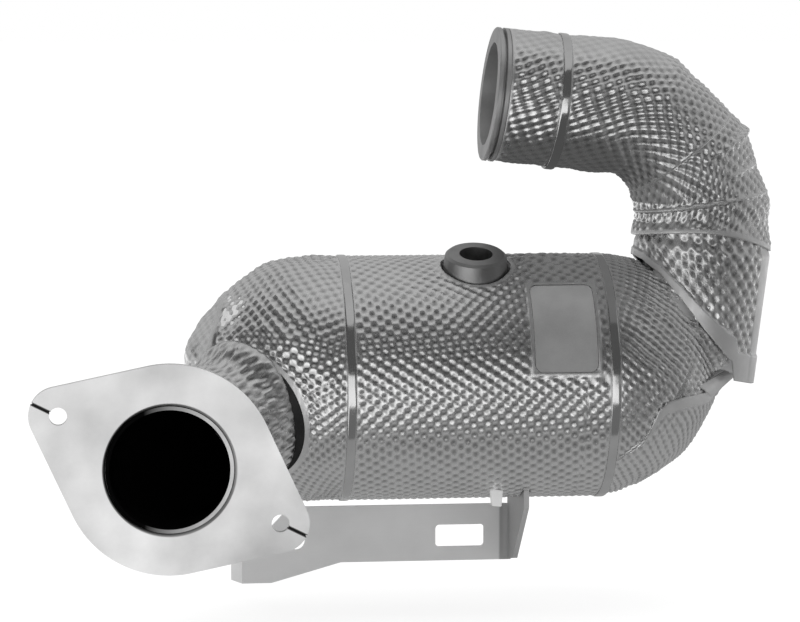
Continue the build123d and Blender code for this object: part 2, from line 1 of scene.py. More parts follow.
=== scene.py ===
# %% [markdown]
# A close-coupled catalytic converter wrapped in embossed foil. The steel and the fit of the
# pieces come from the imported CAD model. Blender adds what the foil looks like: a sheet rolled
# to an egg-crate relief, with smooth hems, folds and seams.

# %% Load the frame
import json
from math import asin, cos, pi, radians, sin, sqrt, tan

import bpy
import numpy as np
from mathutils import Matrix, Vector


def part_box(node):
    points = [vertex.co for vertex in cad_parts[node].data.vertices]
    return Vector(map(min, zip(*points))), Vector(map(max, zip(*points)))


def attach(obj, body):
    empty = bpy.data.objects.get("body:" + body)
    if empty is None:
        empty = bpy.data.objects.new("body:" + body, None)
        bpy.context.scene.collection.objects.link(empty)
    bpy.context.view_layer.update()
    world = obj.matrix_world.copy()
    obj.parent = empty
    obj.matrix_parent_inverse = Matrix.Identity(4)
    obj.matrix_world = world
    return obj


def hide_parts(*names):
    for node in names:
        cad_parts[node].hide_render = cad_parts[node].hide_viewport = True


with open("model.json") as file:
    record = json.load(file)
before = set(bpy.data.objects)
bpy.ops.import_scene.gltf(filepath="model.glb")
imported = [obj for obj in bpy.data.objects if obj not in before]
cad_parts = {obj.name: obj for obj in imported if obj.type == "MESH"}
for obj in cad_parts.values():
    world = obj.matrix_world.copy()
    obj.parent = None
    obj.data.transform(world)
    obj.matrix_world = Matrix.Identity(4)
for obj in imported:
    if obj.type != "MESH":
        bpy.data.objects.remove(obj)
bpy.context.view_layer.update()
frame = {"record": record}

# %% [markdown]
# The places below are the construction's own: the can's middle, the ends of its straight
# part, and the radii of the foil. They could be typed in again, but read from the nodes'
# boxes they keep the foil on the steel whatever the part's size is.

# %% Places on the object
MM = 0.001
can_low, can_high = (Vector(corner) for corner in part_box("can_shell"))
can_centre = (can_low + can_high) / 2
can_half = (can_high.x - can_low.x) / 2
blanket_low, blanket_high = (Vector(corner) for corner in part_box("can_insulation"))
blanket_radius = (blanket_high.z - blanket_low.z) / 2
foil_build = 1.5 * MM
foil_radius = blanket_radius + foil_build
dome_run = 15 * MM
dome_centre = can_centre - Vector((can_half + dome_run, 0, 0))
hood_centre = can_centre + Vector((can_half, 0, 0))
print("can centre", tuple(can_centre), "half", can_half, "foil radius", foil_radius)

# %% [markdown]
# The inlet pipe runs in the can's middle plane: a slightly sloping run behind the clamp
# flange, an elbow, and a drop that leans back into the can's end. Its centre line is laid
# out again here from the same few sizes, because the foil follows it.

# %% The inlet pipe's centre line
run_slope = radians(6.6)
drop_lean = radians(7.3)
run_way = Vector((cos(run_slope), 0, -sin(run_slope)))
drop_way = Vector((-sin(drop_lean), 0, -cos(drop_lean)))
elbow_bend = 55 * MM
elbow_turn = run_way.angle(drop_way)
elbow_tangent = elbow_bend * tan(elbow_turn / 2)
inlet_foot = can_centre + Vector((117.8, 0, 65.9)) * MM
elbow_corner = inlet_foot - drop_way * (6.3 * MM + elbow_tangent)
elbow_start = elbow_corner - run_way * elbow_tangent
run_straight = 61.3 * MM
sleeve_start = 6 * MM
sleeve_end = 33.6 * MM
inlet_face = elbow_start - run_way * run_straight
run_down = Vector((-sin(run_slope), 0, -cos(run_slope)))
elbow_centre = elbow_start + run_down * elbow_bend
pipe_foil_radius = 32.8 * MM
print("elbow turns", elbow_turn * 180 / pi, "foot at", tuple(inlet_foot))

# %% [markdown]
# The outlet pipe leaves the flange square to its face and then bends towards the dome's
# middle. A box doesn't tell where a pipe bends, so its corner is given here.

# %% The outlet pipe's centre line
outlet_corner = Vector((0, 24, 0)) * MM
outlet_way = (dome_centre - outlet_corner).normalized()
outlet_bend = 38 * MM
outlet_turn = outlet_way.angle(Vector((0, 1, 0)))
neck_radius = 33.3 * MM
print("outlet turns", outlet_turn * 180 / pi)

# %% [markdown]
# A foil sheet starts as a plain grid of points. Each point also keeps where it lies on the
# flat sheet ("lattice"), which way is out ("outward"), how much of the relief it takes
# ("relief", none on hems), and how far it may crumple ("slack"). The grid is closed round
# its rims into a thin solid, so that it is a real piece. A Solidify modifier could
# close it too, but here the inner wall is left coarse and smooth, which saves many triangles.

# %% Closed sheets from grids of points
scene = bpy.context.scene


def mesh_piece(name, points, faces):
    """An object of the given points and faces, with its place in its mesh."""
    mesh = bpy.data.meshes.new(name)
    mesh.from_pydata([tuple(point) for point in points], [], faces)
    piece = bpy.data.objects.new(name, mesh)
    scene.collection.objects.link(piece)
    return piece


def unit(field):
    """Vectors of length one."""
    return field / np.maximum(np.linalg.norm(field, axis=-1, keepdims=True), 1e-12)


def outward_of(points, wrapped, inside):
    """Normals of a grid of points, turned away from the points given as inside."""
    along = np.gradient(points, axis=0)
    if wrapped:
        around = np.roll(points, -1, axis=1) - np.roll(points, 1, axis=1)
    else:
        around = np.gradient(points, axis=1)
    normal = unit(np.cross(along, around))
    sign = 1 if np.sum(normal * (points - inside)) > 0 else -1
    return normal * sign, sign


def quads(index, wrapped):
    """Corner numbers of the faces between the rows and columns of a grid."""
    if wrapped:
        index = np.concatenate([index, index[:, :1]], axis=1)
    faces = np.stack([index[:-1, :-1], index[1:, :-1], index[1:, 1:], index[:-1, 1:]], axis=-1)
    return faces.reshape(-1, 4)


def sheet(name, points, inside, lattice, relief, slack, wrapped=True, drop=1.2 * MM):
    """A thin closed sheet on a grid of points, with what the relief needs kept on each point."""
    rows, columns = points.shape[:2]
    outward, sign = outward_of(points, wrapped, inside)
    inner_rows = np.unique(np.linspace(0, rows - 1, 14 if wrapped else rows).astype(int))
    inner = (points - outward * drop)[inner_rows]
    outer_index = np.arange(rows * columns).reshape(rows, columns)
    inner_index = np.arange(inner_rows.size * columns).reshape(-1, columns) + rows * columns
    faces = [quads(outer_index, wrapped), quads(inner_index, wrapped)[:, ::-1]]
    faces.append(quads(np.stack([inner_index[0], outer_index[0]]), wrapped))
    faces.append(quads(np.stack([outer_index[-1], inner_index[-1]]), wrapped))
    rim_count = 2 * (columns if wrapped else columns - 1)
    if not wrapped:
        faces.append(quads(np.stack([outer_index[:, 0], inner_index[:, 0]]), False))
        faces.append(quads(np.stack([inner_index[:, -1], outer_index[:, -1]]), False))
        rim_count += 2 * (rows - 1)
    faces = np.concatenate(faces)
    if sign < 0:
        faces = faces[:, ::-1]
    verts = np.concatenate([points.reshape(-1, 3), inner.reshape(-1, 3)])
    piece = mesh_piece(name, verts.tolist(), faces.tolist())
    mesh = piece.data
    smooth = np.ones(len(faces), bool)
    smooth[-rim_count:] = False
    mesh.polygons.foreach_set("use_smooth", smooth)
    flat_inner = np.zeros(inner.shape[:2])
    fields = {
        "lattice": np.concatenate([lattice.reshape(-1, 3), lattice[inner_rows].reshape(-1, 3)]),
        "outward": np.concatenate([outward.reshape(-1, 3), outward[inner_rows].reshape(-1, 3)]),
        "relief": np.concatenate([relief.ravel(), flat_inner.ravel()]),
        "slack": np.concatenate([slack.ravel(), slack[inner_rows].ravel()]),
    }
    for key, values in fields.items():
        vector = values.ndim == 2
        layer = mesh.attributes.new(key, "FLOAT_VECTOR" if vector else "FLOAT", "POINT")
        layer.data.foreach_set("vector" if vector else "value", values.astype(np.float32).ravel())
    mesh.update()
    return piece


def fade(distance, width):
    """From 0 at an edge to 1 at a width from it, with a soft start and end."""
    share = np.clip(distance / width, 0, 1)
    return share * share * (3 - 2 * share)


def flat_sheet(u, v):
    """Places on the flat sheet, as three numbers with the last one 0."""
    u, v = np.broadcast_arrays(u, v)
    return np.stack([u, v, np.zeros_like(u)], axis=-1)


def plain_sheet(name, points, inside, drop):
    """A closed sheet that takes no relief."""
    none = np.zeros(points.shape[:2])
    return sheet(name, points, inside, flat_sheet(none, none), none, none, drop=drop)


# %% [markdown]
# The relief is a Geometry Nodes tree. Two slanted waves on the flat sheet add up to the
# egg-crate of bumps and pits, and a noise lets the sheet crumple where it is slack. The
# waves lie between a round cosine and a flat-sided zigzag, as rolled foil does. A bump map
# would look much the same from far off, but it would leave the mesh itself smooth.

# %% The relief tree
def math_node(tree, kind, *values):
    node = tree.nodes.new("ShaderNodeMath")
    node.operation = kind
    for place, value in enumerate(values):
        if isinstance(value, (int, float)):
            node.inputs[place].default_value = value
        else:
            tree.links.new(value, node.inputs[place])
    return node.outputs[0]


def field_node(tree, name, kind):
    node = tree.nodes.new("GeometryNodeInputNamedAttribute")
    node.data_type = kind
    node.inputs["Name"].default_value = name
    return node.outputs["Attribute"]


def vector_node(tree, kind, first, second):
    node = tree.nodes.new("ShaderNodeVectorMath")
    node.operation = kind
    place = "Scale" if kind == "SCALE" else 1
    for socket, value in ((node.inputs[0], first), (node.inputs[place], second)):
        if isinstance(value, tuple):
            socket.default_value = value
        else:
            tree.links.new(value, socket)
    return node.outputs["Value" if kind == "DOT_PRODUCT" else "Vector"]


def noise_node(tree, seed, shift, scale, detail):
    """A noise that lies still on the object, told apart by its seed and shift."""
    noise = tree.nodes.new("ShaderNodeTexNoise")
    noise.noise_dimensions = "4D"
    noise.inputs["Detail"].default_value = detail
    tree.links.new(math_node(tree, "ADD", seed, shift), noise.inputs["W"])
    if isinstance(scale, float):
        noise.inputs["Scale"].default_value = scale
    else:
        tree.links.new(scale, noise.inputs["Scale"])
    return noise


def wave_node(tree, place, wave, facet):
    """One slanted wave, from -1 to 1: partly a cosine, partly a zigzag."""
    phase = vector_node(tree, "DOT_PRODUCT", place, wave)
    round_wave = math_node(tree, "COSINE", math_node(tree, "MULTIPLY", phase, 2 * pi))
    zigzag = math_node(tree, "PINGPONG", phase, 0.5)
    zigzag = math_node(tree, "MULTIPLY_ADD", zigzag, -4.0, 1.0)
    mix = tree.nodes.new("ShaderNodeMix")
    tree.links.new(facet, mix.inputs[0])
    tree.links.new(round_wave, mix.inputs[2])
    tree.links.new(zigzag, mix.inputs[3])
    return mix.outputs[0]


def relief_tree():
    tree = bpy.data.node_groups.new("rolled_foil_relief", "GeometryNodeTree")
    face = tree.interface
    face.new_socket("Geometry", in_out="INPUT", socket_type="NodeSocketGeometry")
    for name, kind in (
        ("Wave A", "NodeSocketVector"),
        ("Wave B", "NodeSocketVector"),
        ("Depth", "NodeSocketFloat"),
        ("Facet", "NodeSocketFloat"),
        ("Balance", "NodeSocketFloat"),
        ("Crumple", "NodeSocketFloat"),
        ("Crumple Scale", "NodeSocketFloat"),
        ("Warp", "NodeSocketFloat"),
        ("Seed", "NodeSocketFloat"),
        ("Material", "NodeSocketMaterial"),
    ):
        face.new_socket(name, in_out="INPUT", socket_type=kind)
    face.new_socket("Geometry", in_out="OUTPUT", socket_type="NodeSocketGeometry")
    start = tree.nodes.new("NodeGroupInput").outputs
    wander = noise_node(tree, start["Seed"], 0.0, 55.0, 1.0)
    wander = vector_node(tree, "SUBTRACT", wander.outputs["Color"], (0.5, 0.5, 0.5))
    wander = vector_node(tree, "SCALE", wander, start["Warp"])
    place = vector_node(tree, "ADD", field_node(tree, "lattice", "FLOAT_VECTOR"), wander)
    first = wave_node(tree, place, start["Wave A"], start["Facet"])
    second = wave_node(tree, place, start["Wave B"], start["Facet"])
    mix = tree.nodes.new("ShaderNodeMix")
    tree.links.new(start["Balance"], mix.inputs[0])
    tree.links.new(first, mix.inputs[2])
    tree.links.new(second, mix.inputs[3])
    height = mix.outputs[0]
    keep = tree.nodes.new("GeometryNodeStoreNamedAttribute")
    keep.data_type = "FLOAT"
    keep.inputs["Name"].default_value = "height"
    relief = math_node(tree, "MULTIPLY", height, field_node(tree, "relief", "FLOAT"))
    tree.links.new(start["Geometry"], keep.inputs["Geometry"])
    tree.links.new(relief, keep.inputs["Value"])
    bump = math_node(tree, "MULTIPLY", relief, start["Depth"])
    noise = noise_node(tree, start["Seed"], 5.0, start["Crumple Scale"], 2.0)
    swing = math_node(tree, "SUBTRACT", noise.outputs[0], 0.5)
    swing = math_node(tree, "MAXIMUM", swing, -0.05)
    swing = math_node(tree, "MULTIPLY", swing, start["Crumple"])
    swing = math_node(tree, "MULTIPLY", swing, field_node(tree, "slack", "FLOAT"))
    lift = math_node(tree, "ADD", bump, swing)
    offset = vector_node(tree, "SCALE", field_node(tree, "outward", "FLOAT_VECTOR"), lift)
    move = tree.nodes.new("GeometryNodeSetPosition")
    tree.links.new(keep.outputs[0], move.inputs["Geometry"])
    tree.links.new(offset, move.inputs["Offset"])
    real = tree.nodes.new("GeometryNodeRealizeInstances")
    tree.links.new(move.outputs[0], real.inputs[0])
    paint = tree.nodes.new("GeometryNodeSetMaterial")
    tree.links.new(real.outputs[0], paint.inputs["Geometry"])
    tree.links.new(start["Material"], paint.inputs["Material"])
    end = tree.nodes.new("NodeGroupOutput")
    tree.links.new(paint.outputs[0], end.inputs[0])
    return tree


foil_relief = relief_tree()
print("relief tree", len(foil_relief.nodes), "nodes")


def bake(piece):
    """Turns a piece's modifiers into its plain mesh."""
    graph = bpy.context.evaluated_depsgraph_get()
    mesh = bpy.data.meshes.new_from_object(piece.evaluated_get(graph))
    mesh.name = piece.name
    piece.modifiers.clear()
    piece.data = mesh
    return piece


def emboss(piece, material, wave_a, wave_b, depth=0.5 * MM, facet=0.35, balance=0.5,
           crumple=0.0, crumple_scale=40.0, warp=0.0, seed=1.0):
    """Rolls the relief into a sheet. Waves are in cycles for each millimetre of the flat sheet."""
    modifier = piece.modifiers.new("relief", "NODES")
    modifier.node_group = foil_relief
    values = {
        "Wave A": (wave_a[0] / MM, wave_a[1] / MM, 0),
        "Wave B": (wave_b[0] / MM, wave_b[1] / MM, 0),
        "Depth": depth,
        "Facet": facet,
        "Balance": balance,
        "Crumple": crumple,
        "Crumple Scale": crumple_scale,
        "Warp": warp,
        "Seed": seed,
        "Material": material,
    }
    for item in foil_relief.interface.items_tree:
        if item.in_out == "INPUT" and item.name in values:
            modifier[item.identifier] = values[item.name]
    bake(piece)
    print(piece.name, "triangles", sum(len(face.vertices) - 2 for face in piece.data.polygons))
    return piece

# %% [markdown]
# Materials. The foil is bright rolled aluminium: metallic, fairly sharp, with painted shade
# that makes its pits a little darker. The steels are duller and more even.
# Every metal comes from one helper with two noises, so finishes differ only in their numbers.

# %% Material helpers
def new_material(name):
    material = bpy.data.materials.new(name)
    material.use_nodes = True
    tree = material.node_tree
    shader = next(node for node in tree.nodes if node.type == "BSDF_PRINCIPLED")
    return material, tree, shader


def object_noise(tree, scale, detail=3.0, stretch=(1, 1, 1)):
    """A noise that lies still on the object, in cycles for each metre."""
    place = tree.nodes.new("ShaderNodeTexCoord")
    turn = tree.nodes.new("ShaderNodeMapping")
    turn.inputs["Scale"].default_value = stretch
    noise = tree.nodes.new("ShaderNodeTexNoise")
    noise.inputs["Scale"].default_value = scale
    noise.inputs["Detail"].default_value = detail
    tree.links.new(place.outputs["Object"], turn.inputs["Vector"])
    tree.links.new(turn.outputs["Vector"], noise.inputs["Vector"])
    return noise.outputs[0]


def object_axes(tree):
    """Where a point lies on the object, as sockets X, Y and Z in metres."""
    place = tree.nodes.new("ShaderNodeTexCoord")
    split = tree.nodes.new("ShaderNodeSeparateXYZ")
    tree.links.new(place.outputs["Object"], split.inputs[0])
    return split.outputs


def spread(tree, value, low, high, start=0.3, end=0.7):
    """Maps a value's span from start to end onto low to high."""
    node = tree.nodes.new("ShaderNodeMapRange")
    for name, number in (("From Min", start), ("From Max", end), ("To Min", low), ("To Max", high)):
        node.inputs[name].default_value = number
    tree.links.new(value, node.inputs["Value"])
    return node.outputs["Result"]


def paint_grey(tree, shader, level):
    """A neutral colour from a single level."""
    mix = tree.nodes.new("ShaderNodeCombineColor")
    for socket in mix.inputs:
        tree.links.new(level, socket)
    tree.links.new(mix.outputs[0], shader.inputs["Base Color"])


def bump(tree, shader, value, distance):
    node = tree.nodes.new("ShaderNodeBump")
    node.inputs["Distance"].default_value = distance
    tree.links.new(value, node.inputs["Height"])
    tree.links.new(node.outputs["Normal"], shader.inputs["Normal"])


def metal(name, low, high, rough, patch_scale, grain_scale, grain_height=0.00001,
          stretch=(1, 1, 1), rough_swing=0.06, metallic=1.0, speckle=0.25, patch_detail=4.0):
    """A metal with uneven grey and gloss, and a fine grain."""
    material, tree, shader = new_material(name)
    shader.inputs["Metallic"].default_value = metallic
    patches = object_noise(tree, patch_scale, patch_detail)
    grain = object_noise(tree, grain_scale, 3.0, stretch)
    tone = math_node(tree, "MULTIPLY", patches, 1 - speckle)
    tone = math_node(tree, "MULTIPLY_ADD", grain, speckle, tone)
    level = spread(tree, tone, low, high)
    paint_grey(tree, shader, level)
    tree.links.new(spread(tree, grain, rough - rough_swing, rough + rough_swing), shader.inputs["Roughness"])
    bump(tree, shader, grain, grain_height)
    return material, tree, shader, level


def foil_material(name, low, high, rough):
    """Bright foil with painted shade that makes its pits darker than its bumps. Hems, pressed flat, are
    paler and duller.
    """
    material, tree, shader = new_material(name)
    shader.inputs["Metallic"].default_value = 1.0
    height = tree.nodes.new("ShaderNodeAttribute")
    height.attribute_name = "height"
    patches = object_noise(tree, 60, 3.0)
    tone = math_node(tree, "MULTIPLY_ADD", patches, 0.7, -0.35)
    # Painted shade: where the relief's height is low, in the pits, the colour is darker.
    tone = math_node(tree, "ADD", height.outputs["Fac"], tone)
    level = spread(tree, tone, low, high, -0.9, 0.2)
    relief = tree.nodes.new("ShaderNodeAttribute")
    relief.attribute_name = "relief"
    pressed = spread(tree, relief.outputs["Fac"], 1.0, 0.0, 0.0, 0.2)
    paint_grey(tree, shader, math_node(tree, "MULTIPLY_ADD", pressed, 0.1, level))
    scratches = object_noise(tree, 900, 2.0, (1, 1, 0.15))
    gloss = spread(tree, scratches, rough - 0.05, rough + 0.07)
    tree.links.new(math_node(tree, "MULTIPLY_ADD", pressed, 0.2, gloss), shader.inputs["Roughness"])
    bump(tree, shader, scratches, 0.000015)
    return material


foil = foil_material("rolled_foil", 0.42, 0.88, 0.28)
print("foil material", foil.name)

# %% [markdown]
# The steel pieces keep their solid shapes and get their finishes here. The outlet pipe is
# painted black, with a painted highlight on the right side of its end. Stains, dark marks
# and painted light and shade are placed by where a point lies on the object, which needs no unwrapping.

# %% Finishes of the solid pieces
# Painted shade: the gusset at the bracket's right end is painted darker than its plate.
bracket_finish, tree, shader, level = metal(
    "bracket_satin", 0.74, 0.82, 0.45, 40, 900, 0.000004, (0.08, 1, 1), metallic=0.1, speckle=0.12)
gusset_edge = (0.1712, 0.1722)
gusset = spread(tree, object_axes(tree)["X"], 1.0, 0.5, *gusset_edge)
paint_grey(tree, shader, math_node(tree, "MULTIPLY", level, gusset))
boss_finish = metal("boss_machined", 0.34, 0.46, 0.45, 70, 1200, 0.00001)[0]
clamp_finish = metal("clamp_machined", 0.36, 0.5, 0.42, 70, 1500, 0.00001, metallic=0.8)[0]
strap_finish = metal("strap_bright", 0.62, 0.74, 0.12, 60, 2500, 0.000004)[0]
plate_finish = metal("plate_satin", 0.26, 0.36, 0.5, 45, 1300, 0.000006, metallic=0.45)[0]
# A near-black finish for the ring in the dome's opening and the slits' fill.
ring_finish = metal("ring_and_slit_black", 0.01, 0.03, 0.6, 90, 900, 0.00003, metallic=0.3)[0]
inlet_finish = metal("inlet_bore", 0.34, 0.5, 0.5, 60, 1100, 0.00001, metallic=0.7)[0]
brick_finish = metal("ceramic", 0.5, 0.6, 0.85, 80, 1500, 0.00003, metallic=0.0)[0]
blanket_finish = metal("blanket", 0.5, 0.62, 0.9, 120, 2000, 0.00008, metallic=0.0)[0]

black_pipe_painted_rim, tree, shader, level = metal("black_pipe_painted_rim_highlight", 0.5, 0.75, 0.35, 60, 1100)
axes = object_axes(tree)
# Painted highlight: the pipe's end is bright on its right side only, and the rest is painted black.
rim = spread(tree, axes["Y"], 1.0, 0.0, 0.0009, 0.0016)
side = spread(tree, axes["X"], 0.0, 1.0, -0.012, 0.02)
painted_rim_highlight = math_node(tree, "MAXIMUM", math_node(tree, "MULTIPLY", rim, side), 0.003)
paint_grey(tree, shader, math_node(tree, "MULTIPLY", level, painted_rim_highlight))
tree.links.new(math_node(tree, "MULTIPLY", rim, side), shader.inputs["Metallic"])
tree.links.new(spread(tree, painted_rim_highlight, 0.0, 0.5, 0.0, 0.5), shader.inputs["Specular IOR Level"])

# The flange is pale satin with soft stains. Its slits are painted dark, and painted shade darkens the edge
# of its bore, most on the left.
flange_finish, tree, shader, level = metal("flange_satin", 0.58, 0.9, 0.34, 30, 300, 0.0, speckle=0.12,
                                          rough_swing=0.02, metallic=0.75, patch_detail=2.0)
axes = object_axes(tree)
across, height = axes["X"], axes["Z"]
slit_slope = radians(26.8)
from_slit = math_node(tree, "ADD", math_node(tree, "MULTIPLY", across, sin(slit_slope)),
                      math_node(tree, "MULTIPLY", height, cos(slit_slope)))
from_slit = math_node(tree, "ABSOLUTE", from_slit)
reach = math_node(tree, "SQRT", math_node(tree, "ADD", math_node(tree, "MULTIPLY", across, across),
                                          math_node(tree, "MULTIPLY", height, height)))
outside = spread(tree, reach, 0.0, 1.0, 0.0605, 0.0615)
dark_slit_lines = math_node(tree, "MULTIPLY", outside, spread(tree, from_slit, 1.0, 0.0, 0.0006, 0.0011))
# Painted shade round the bore's edge, darker on the left.
bore_painted_shade = math_node(tree, "MULTIPLY", spread(tree, reach, 1.0, 0.0, 0.0308, 0.0318),
                      spread(tree, across, 1.0, 0.5, -0.02, 0.02))
slit_and_bore_darkening = math_node(tree, "MULTIPLY_ADD", math_node(tree, "MAXIMUM", dark_slit_lines, bore_painted_shade), -0.98, 1.0)
paint_grey(tree, shader, math_node(tree, "MULTIPLY", level, slit_and_bore_darkening))

finishes = {
    "outlet_flange": flange_finish,
    "bracket": bracket_finish,
    "sensor_boss": boss_finish,
    "inlet_clamp_flange": clamp_finish,
    "outlet_side_strap": strap_finish,
    "inlet_side_strap": strap_finish,
    "inlet_run_strap": strap_finish,
    "window_plate": plate_finish,
    "outlet_shield_ring": ring_finish,
    "outlet_pipe": black_pipe_painted_rim,
    "inlet_pipe": inlet_finish,
    "can_shell": inlet_finish,
    "outlet_dome": inlet_finish,
    "inlet_hood": inlet_finish,
    "first_catalyst_brick": brick_finish,
    "second_catalyst_brick": brick_finish,
}
nodes = [piece["node"] for piece in frame["record"]["subparts"]]
for node in nodes:
    materials = bpy.data.objects[node].data.materials
    materials.clear()
    materials.append(finishes.get(node, blanket_finish))
print("finished", len(nodes), "nodes")

# %% [markdown]
# Openings are cut by a bar that goes through the wall from inside, as a punch does it. The
# grid of points could have holes instead, but their corners would need a very fine grid.

# %% Punching openings
bar_start, bar_end = 30 * MM, 90 * MM


def ring_angles(columns):
    return np.arange(columns) * 2 * pi / columns


def array(vector):
    return np.array(tuple(vector))


def cut(piece, outline, along, right, up, origin):
    """Cuts a bar with the given outline in millimetres out of a piece, along a direction."""
    outline = np.asarray(outline) * MM
    along, right, up, origin = (array(v) for v in (along, right, up, origin))
    flat = origin + outline[:, :1] * right + outline[:, 1:] * up
    count = len(outline)
    faces = [tuple(range(count))[::-1], tuple(range(count, 2 * count))]
    faces += [(i, (i + 1) % count, (i + 1) % count + count, i + count) for i in range(count)]
    if np.dot(np.cross(right, up), along) < 0:
        faces = [face[::-1] for face in faces]
    ends = np.concatenate([flat + along * bar_start, flat + along * bar_end])
    cutter = mesh_piece("cutter", ends.tolist(), faces)
    modifier = piece.modifiers.new("cut", "BOOLEAN")
    modifier.operation = "DIFFERENCE"
    modifier.solver = "EXACT"
    modifier.object = cutter
    before = len(piece.data.polygons)
    bake(piece)
    bpy.data.objects.remove(cutter)
    print(piece.name, "faces", before, "->", len(piece.data.polygons))


def rounded_box(length, height, corner, steps=6):
    points = []
    for across, upward, start in ((1, 1, 0), (-1, 1, 90), (-1, -1, 180), (1, -1, 270)):
        for step in range(steps + 1):
            angle = radians(start + 90 * step / steps)
            points.append((across * (length / 2 - corner) + corner * cos(angle),
                           upward * (height / 2 - corner) + corner * sin(angle)))
    return points


print("bars reach from", bar_start, "to", bar_end, "m")

# %% [markdown]
# The foil round the straight can: a tube with a low hem at each end. The window, the hole
# for the sensor boss and the slot for the gusset are cut through it as real openings. A plain
# cylinder could take the relief too, but a grid also carries the folds and the slipped rows.

# %% Foil round the can
fine = 0.85 * MM
base_radius = foil_radius - 0.5 * MM
rows = int(2 * can_half / fine)
columns = int(2 * pi * foil_radius / fine)
x = np.linspace(-can_half, can_half, rows)[:, None] * np.ones((1, columns))
theta = (ring_angles(columns) - pi)[None, :] * np.ones((rows, 1))
from_end = can_half - np.abs(x)
window_turn = radians(31)
window_x = can_half - 24 * MM
window_half_turn = 0.395
# The openings' sizes are in millimetres, as cut() takes them.
window_length, window_height, window_corner = 31, 47, 4
boss_turn = radians(71)
boss_x = 0.5 * MM
boss_hole = 17.3
gusset_slot = [(-28.5, -0.6), (33, -0.6), (33, 3.1), (-28.5, 3.1)]
window_gap = np.maximum(np.abs(x - window_x) - window_length / 2 * MM,
                        foil_radius * (np.abs(theta - window_turn) - window_half_turn))
boss_gap = np.hypot(x - boss_x, foil_radius * (theta - boss_turn))
relief = (fade(from_end - 2.4 * MM, 1.2 * MM) * fade(window_gap - 1.5 * MM, 1.5 * MM)
          * fade(boss_gap - 19 * MM, 2 * MM))
# The sheet is pulled up in folds between the boss and the window's top.
folds = np.exp(-((x - 34 * MM) / (20 * MM)) ** 2 - ((theta - radians(74)) / 0.3) ** 2)
lip = 1 - fade(np.abs(window_gap - 0.9 * MM), 1.2 * MM)
radius = base_radius + 0.5 * MM * lip + folds * (1.3 + 0.8 * np.sin(theta * 42 + x * 60)) * MM
points = np.stack([x, -radius * np.cos(theta), radius * np.sin(theta)], -1) + array(can_centre)
axis_points = np.stack([x, 0 * x, 0 * x], -1) + array(can_centre)
slack = 0.3 + 0.9 * folds
# Low on the right the foil slipped in the rolls, so its rows are shifted past one upright line.
slip = 2.6 * MM * fade(x - 49 * MM, 1.2 * MM) * (1 - fade(theta - radians(3), 0.1))
can_foil = sheet("can_foil", points, axis_points, flat_sheet(x, foil_radius * theta + slip), relief, slack,
                 drop=0.8 * MM)
CAN_WAVES = (0.125, 0.183), (0.162, -0.151)
emboss(can_foil, foil, *CAN_WAVES, depth=0.47 * MM, crumple=1.8 * MM, crumple_scale=30, seed=3.0)
plus_x, plus_y = Vector((1, 0, 0)), Vector((0, 1, 0))
window_out = Vector((0, -cos(window_turn), sin(window_turn)))
cut(can_foil, rounded_box(window_length, window_height, window_corner), window_out, plus_x,
    window_out.cross(plus_x), can_centre + plus_x * window_x)
boss_out = Vector((0, -cos(boss_turn), sin(boss_turn)))
cut(can_foil, [(boss_hole * cos(a), boss_hole * sin(a)) for a in ring_angles(48)], boss_out, plus_x,
    boss_out.cross(plus_x), can_centre + plus_x * boss_x)
cut(can_foil, gusset_slot, Vector((0, 0, -1)), plus_y, plus_x, can_centre + plus_x * 24 * MM)
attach(can_foil, "root")
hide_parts("can_shield")

# %% [markdown]
# The foils over the can's two ends are draped: from a middle inside the end, each direction
# has one distance. A grid of such directions fans out from a pole to where the foil stops,
# so all its rims are clean curves.

# %% Draping foil over a rounded end
def frame_of(pole, right=(1, 0, 0)):
    pole = unit(array(pole))
    right = array(right)
    right = unit(right - pole * np.dot(right, pole))
    return pole, right, np.cross(pole, right)


def azimuthal(points, centre, pole, right):
    """Places on a flat sheet laid against a ball at a pole: distances from the pole are kept."""
    pole, right, up = frame_of(pole, right)
    way = unit(points - array(centre))
    angle = np.arccos(np.clip(way @ pole, -1, 1))
    away = unit(np.stack([way @ right, way @ up], -1))
    reach = angle * np.linalg.norm(points - array(centre), axis=-1)
    return flat_sheet(away[..., 0] * reach, away[..., 1] * reach)


def drape(distance, stops, pole, start, rows, columns, draw=0):
    """Points round a middle, from an angle off the pole out to where the first stop is passed.

    The start is one angle, or one for each column, where the opening isn't round.
    The sheet is drawn smooth over hollows by averaging its distances the given number of times.
    """
    pole, right, up = frame_of(pole)
    turn = ring_angles(columns)
    away = np.cos(turn)[:, None] * right + np.sin(turn)[:, None] * up
    scan = np.linspace(np.min(start), pi - 0.05, 1500)[:, None]
    way = np.cos(scan)[..., None] * pole + np.sin(scan)[..., None] * away[None]
    place = way * distance(way)[..., None]
    past = np.min([stop(place) for stop in stops], axis=0)
    first = np.argmax(past < 0, axis=0)
    here, before = past[first, np.arange(columns)], past[first - 1, np.arange(columns)]
    end = scan[first, 0] - (scan[1, 0] - scan[0, 0]) * here / (here - before)
    angle = start + np.linspace(0, 1, rows)[:, None] * (end[None, :] - start)
    way = np.cos(angle)[..., None] * pole + np.sin(angle)[..., None] * away[None]
    reach = distance(way)
    for _ in range(draw):
        reach = reach / 2 + (np.roll(reach, 1, 1) + np.roll(reach, -1, 1)) / 4
        reach[1:-1] = reach[1:-1] / 2 + (reach[2:] + reach[:-2]) / 4
    return way * reach[..., None]


def lump(way, direction, height, width):
    """A soft bump in the distance, round a direction."""
    off = np.arccos(np.clip(way @ unit(np.array(direction, float)), -1, 1))
    return height * MM * np.exp(-(off / width) ** 2)


# %% [markdown]
# The dome over the outlet end: a half ball, a little drawn out at its far left, with the
# opening for the neck and a short straight run to the strap. Its plain margin at the far
# left closes to a disc towards the back. Cutting a ball would leave a ragged rim in the
# relief, so the sheet starts at the opening's edge instead.

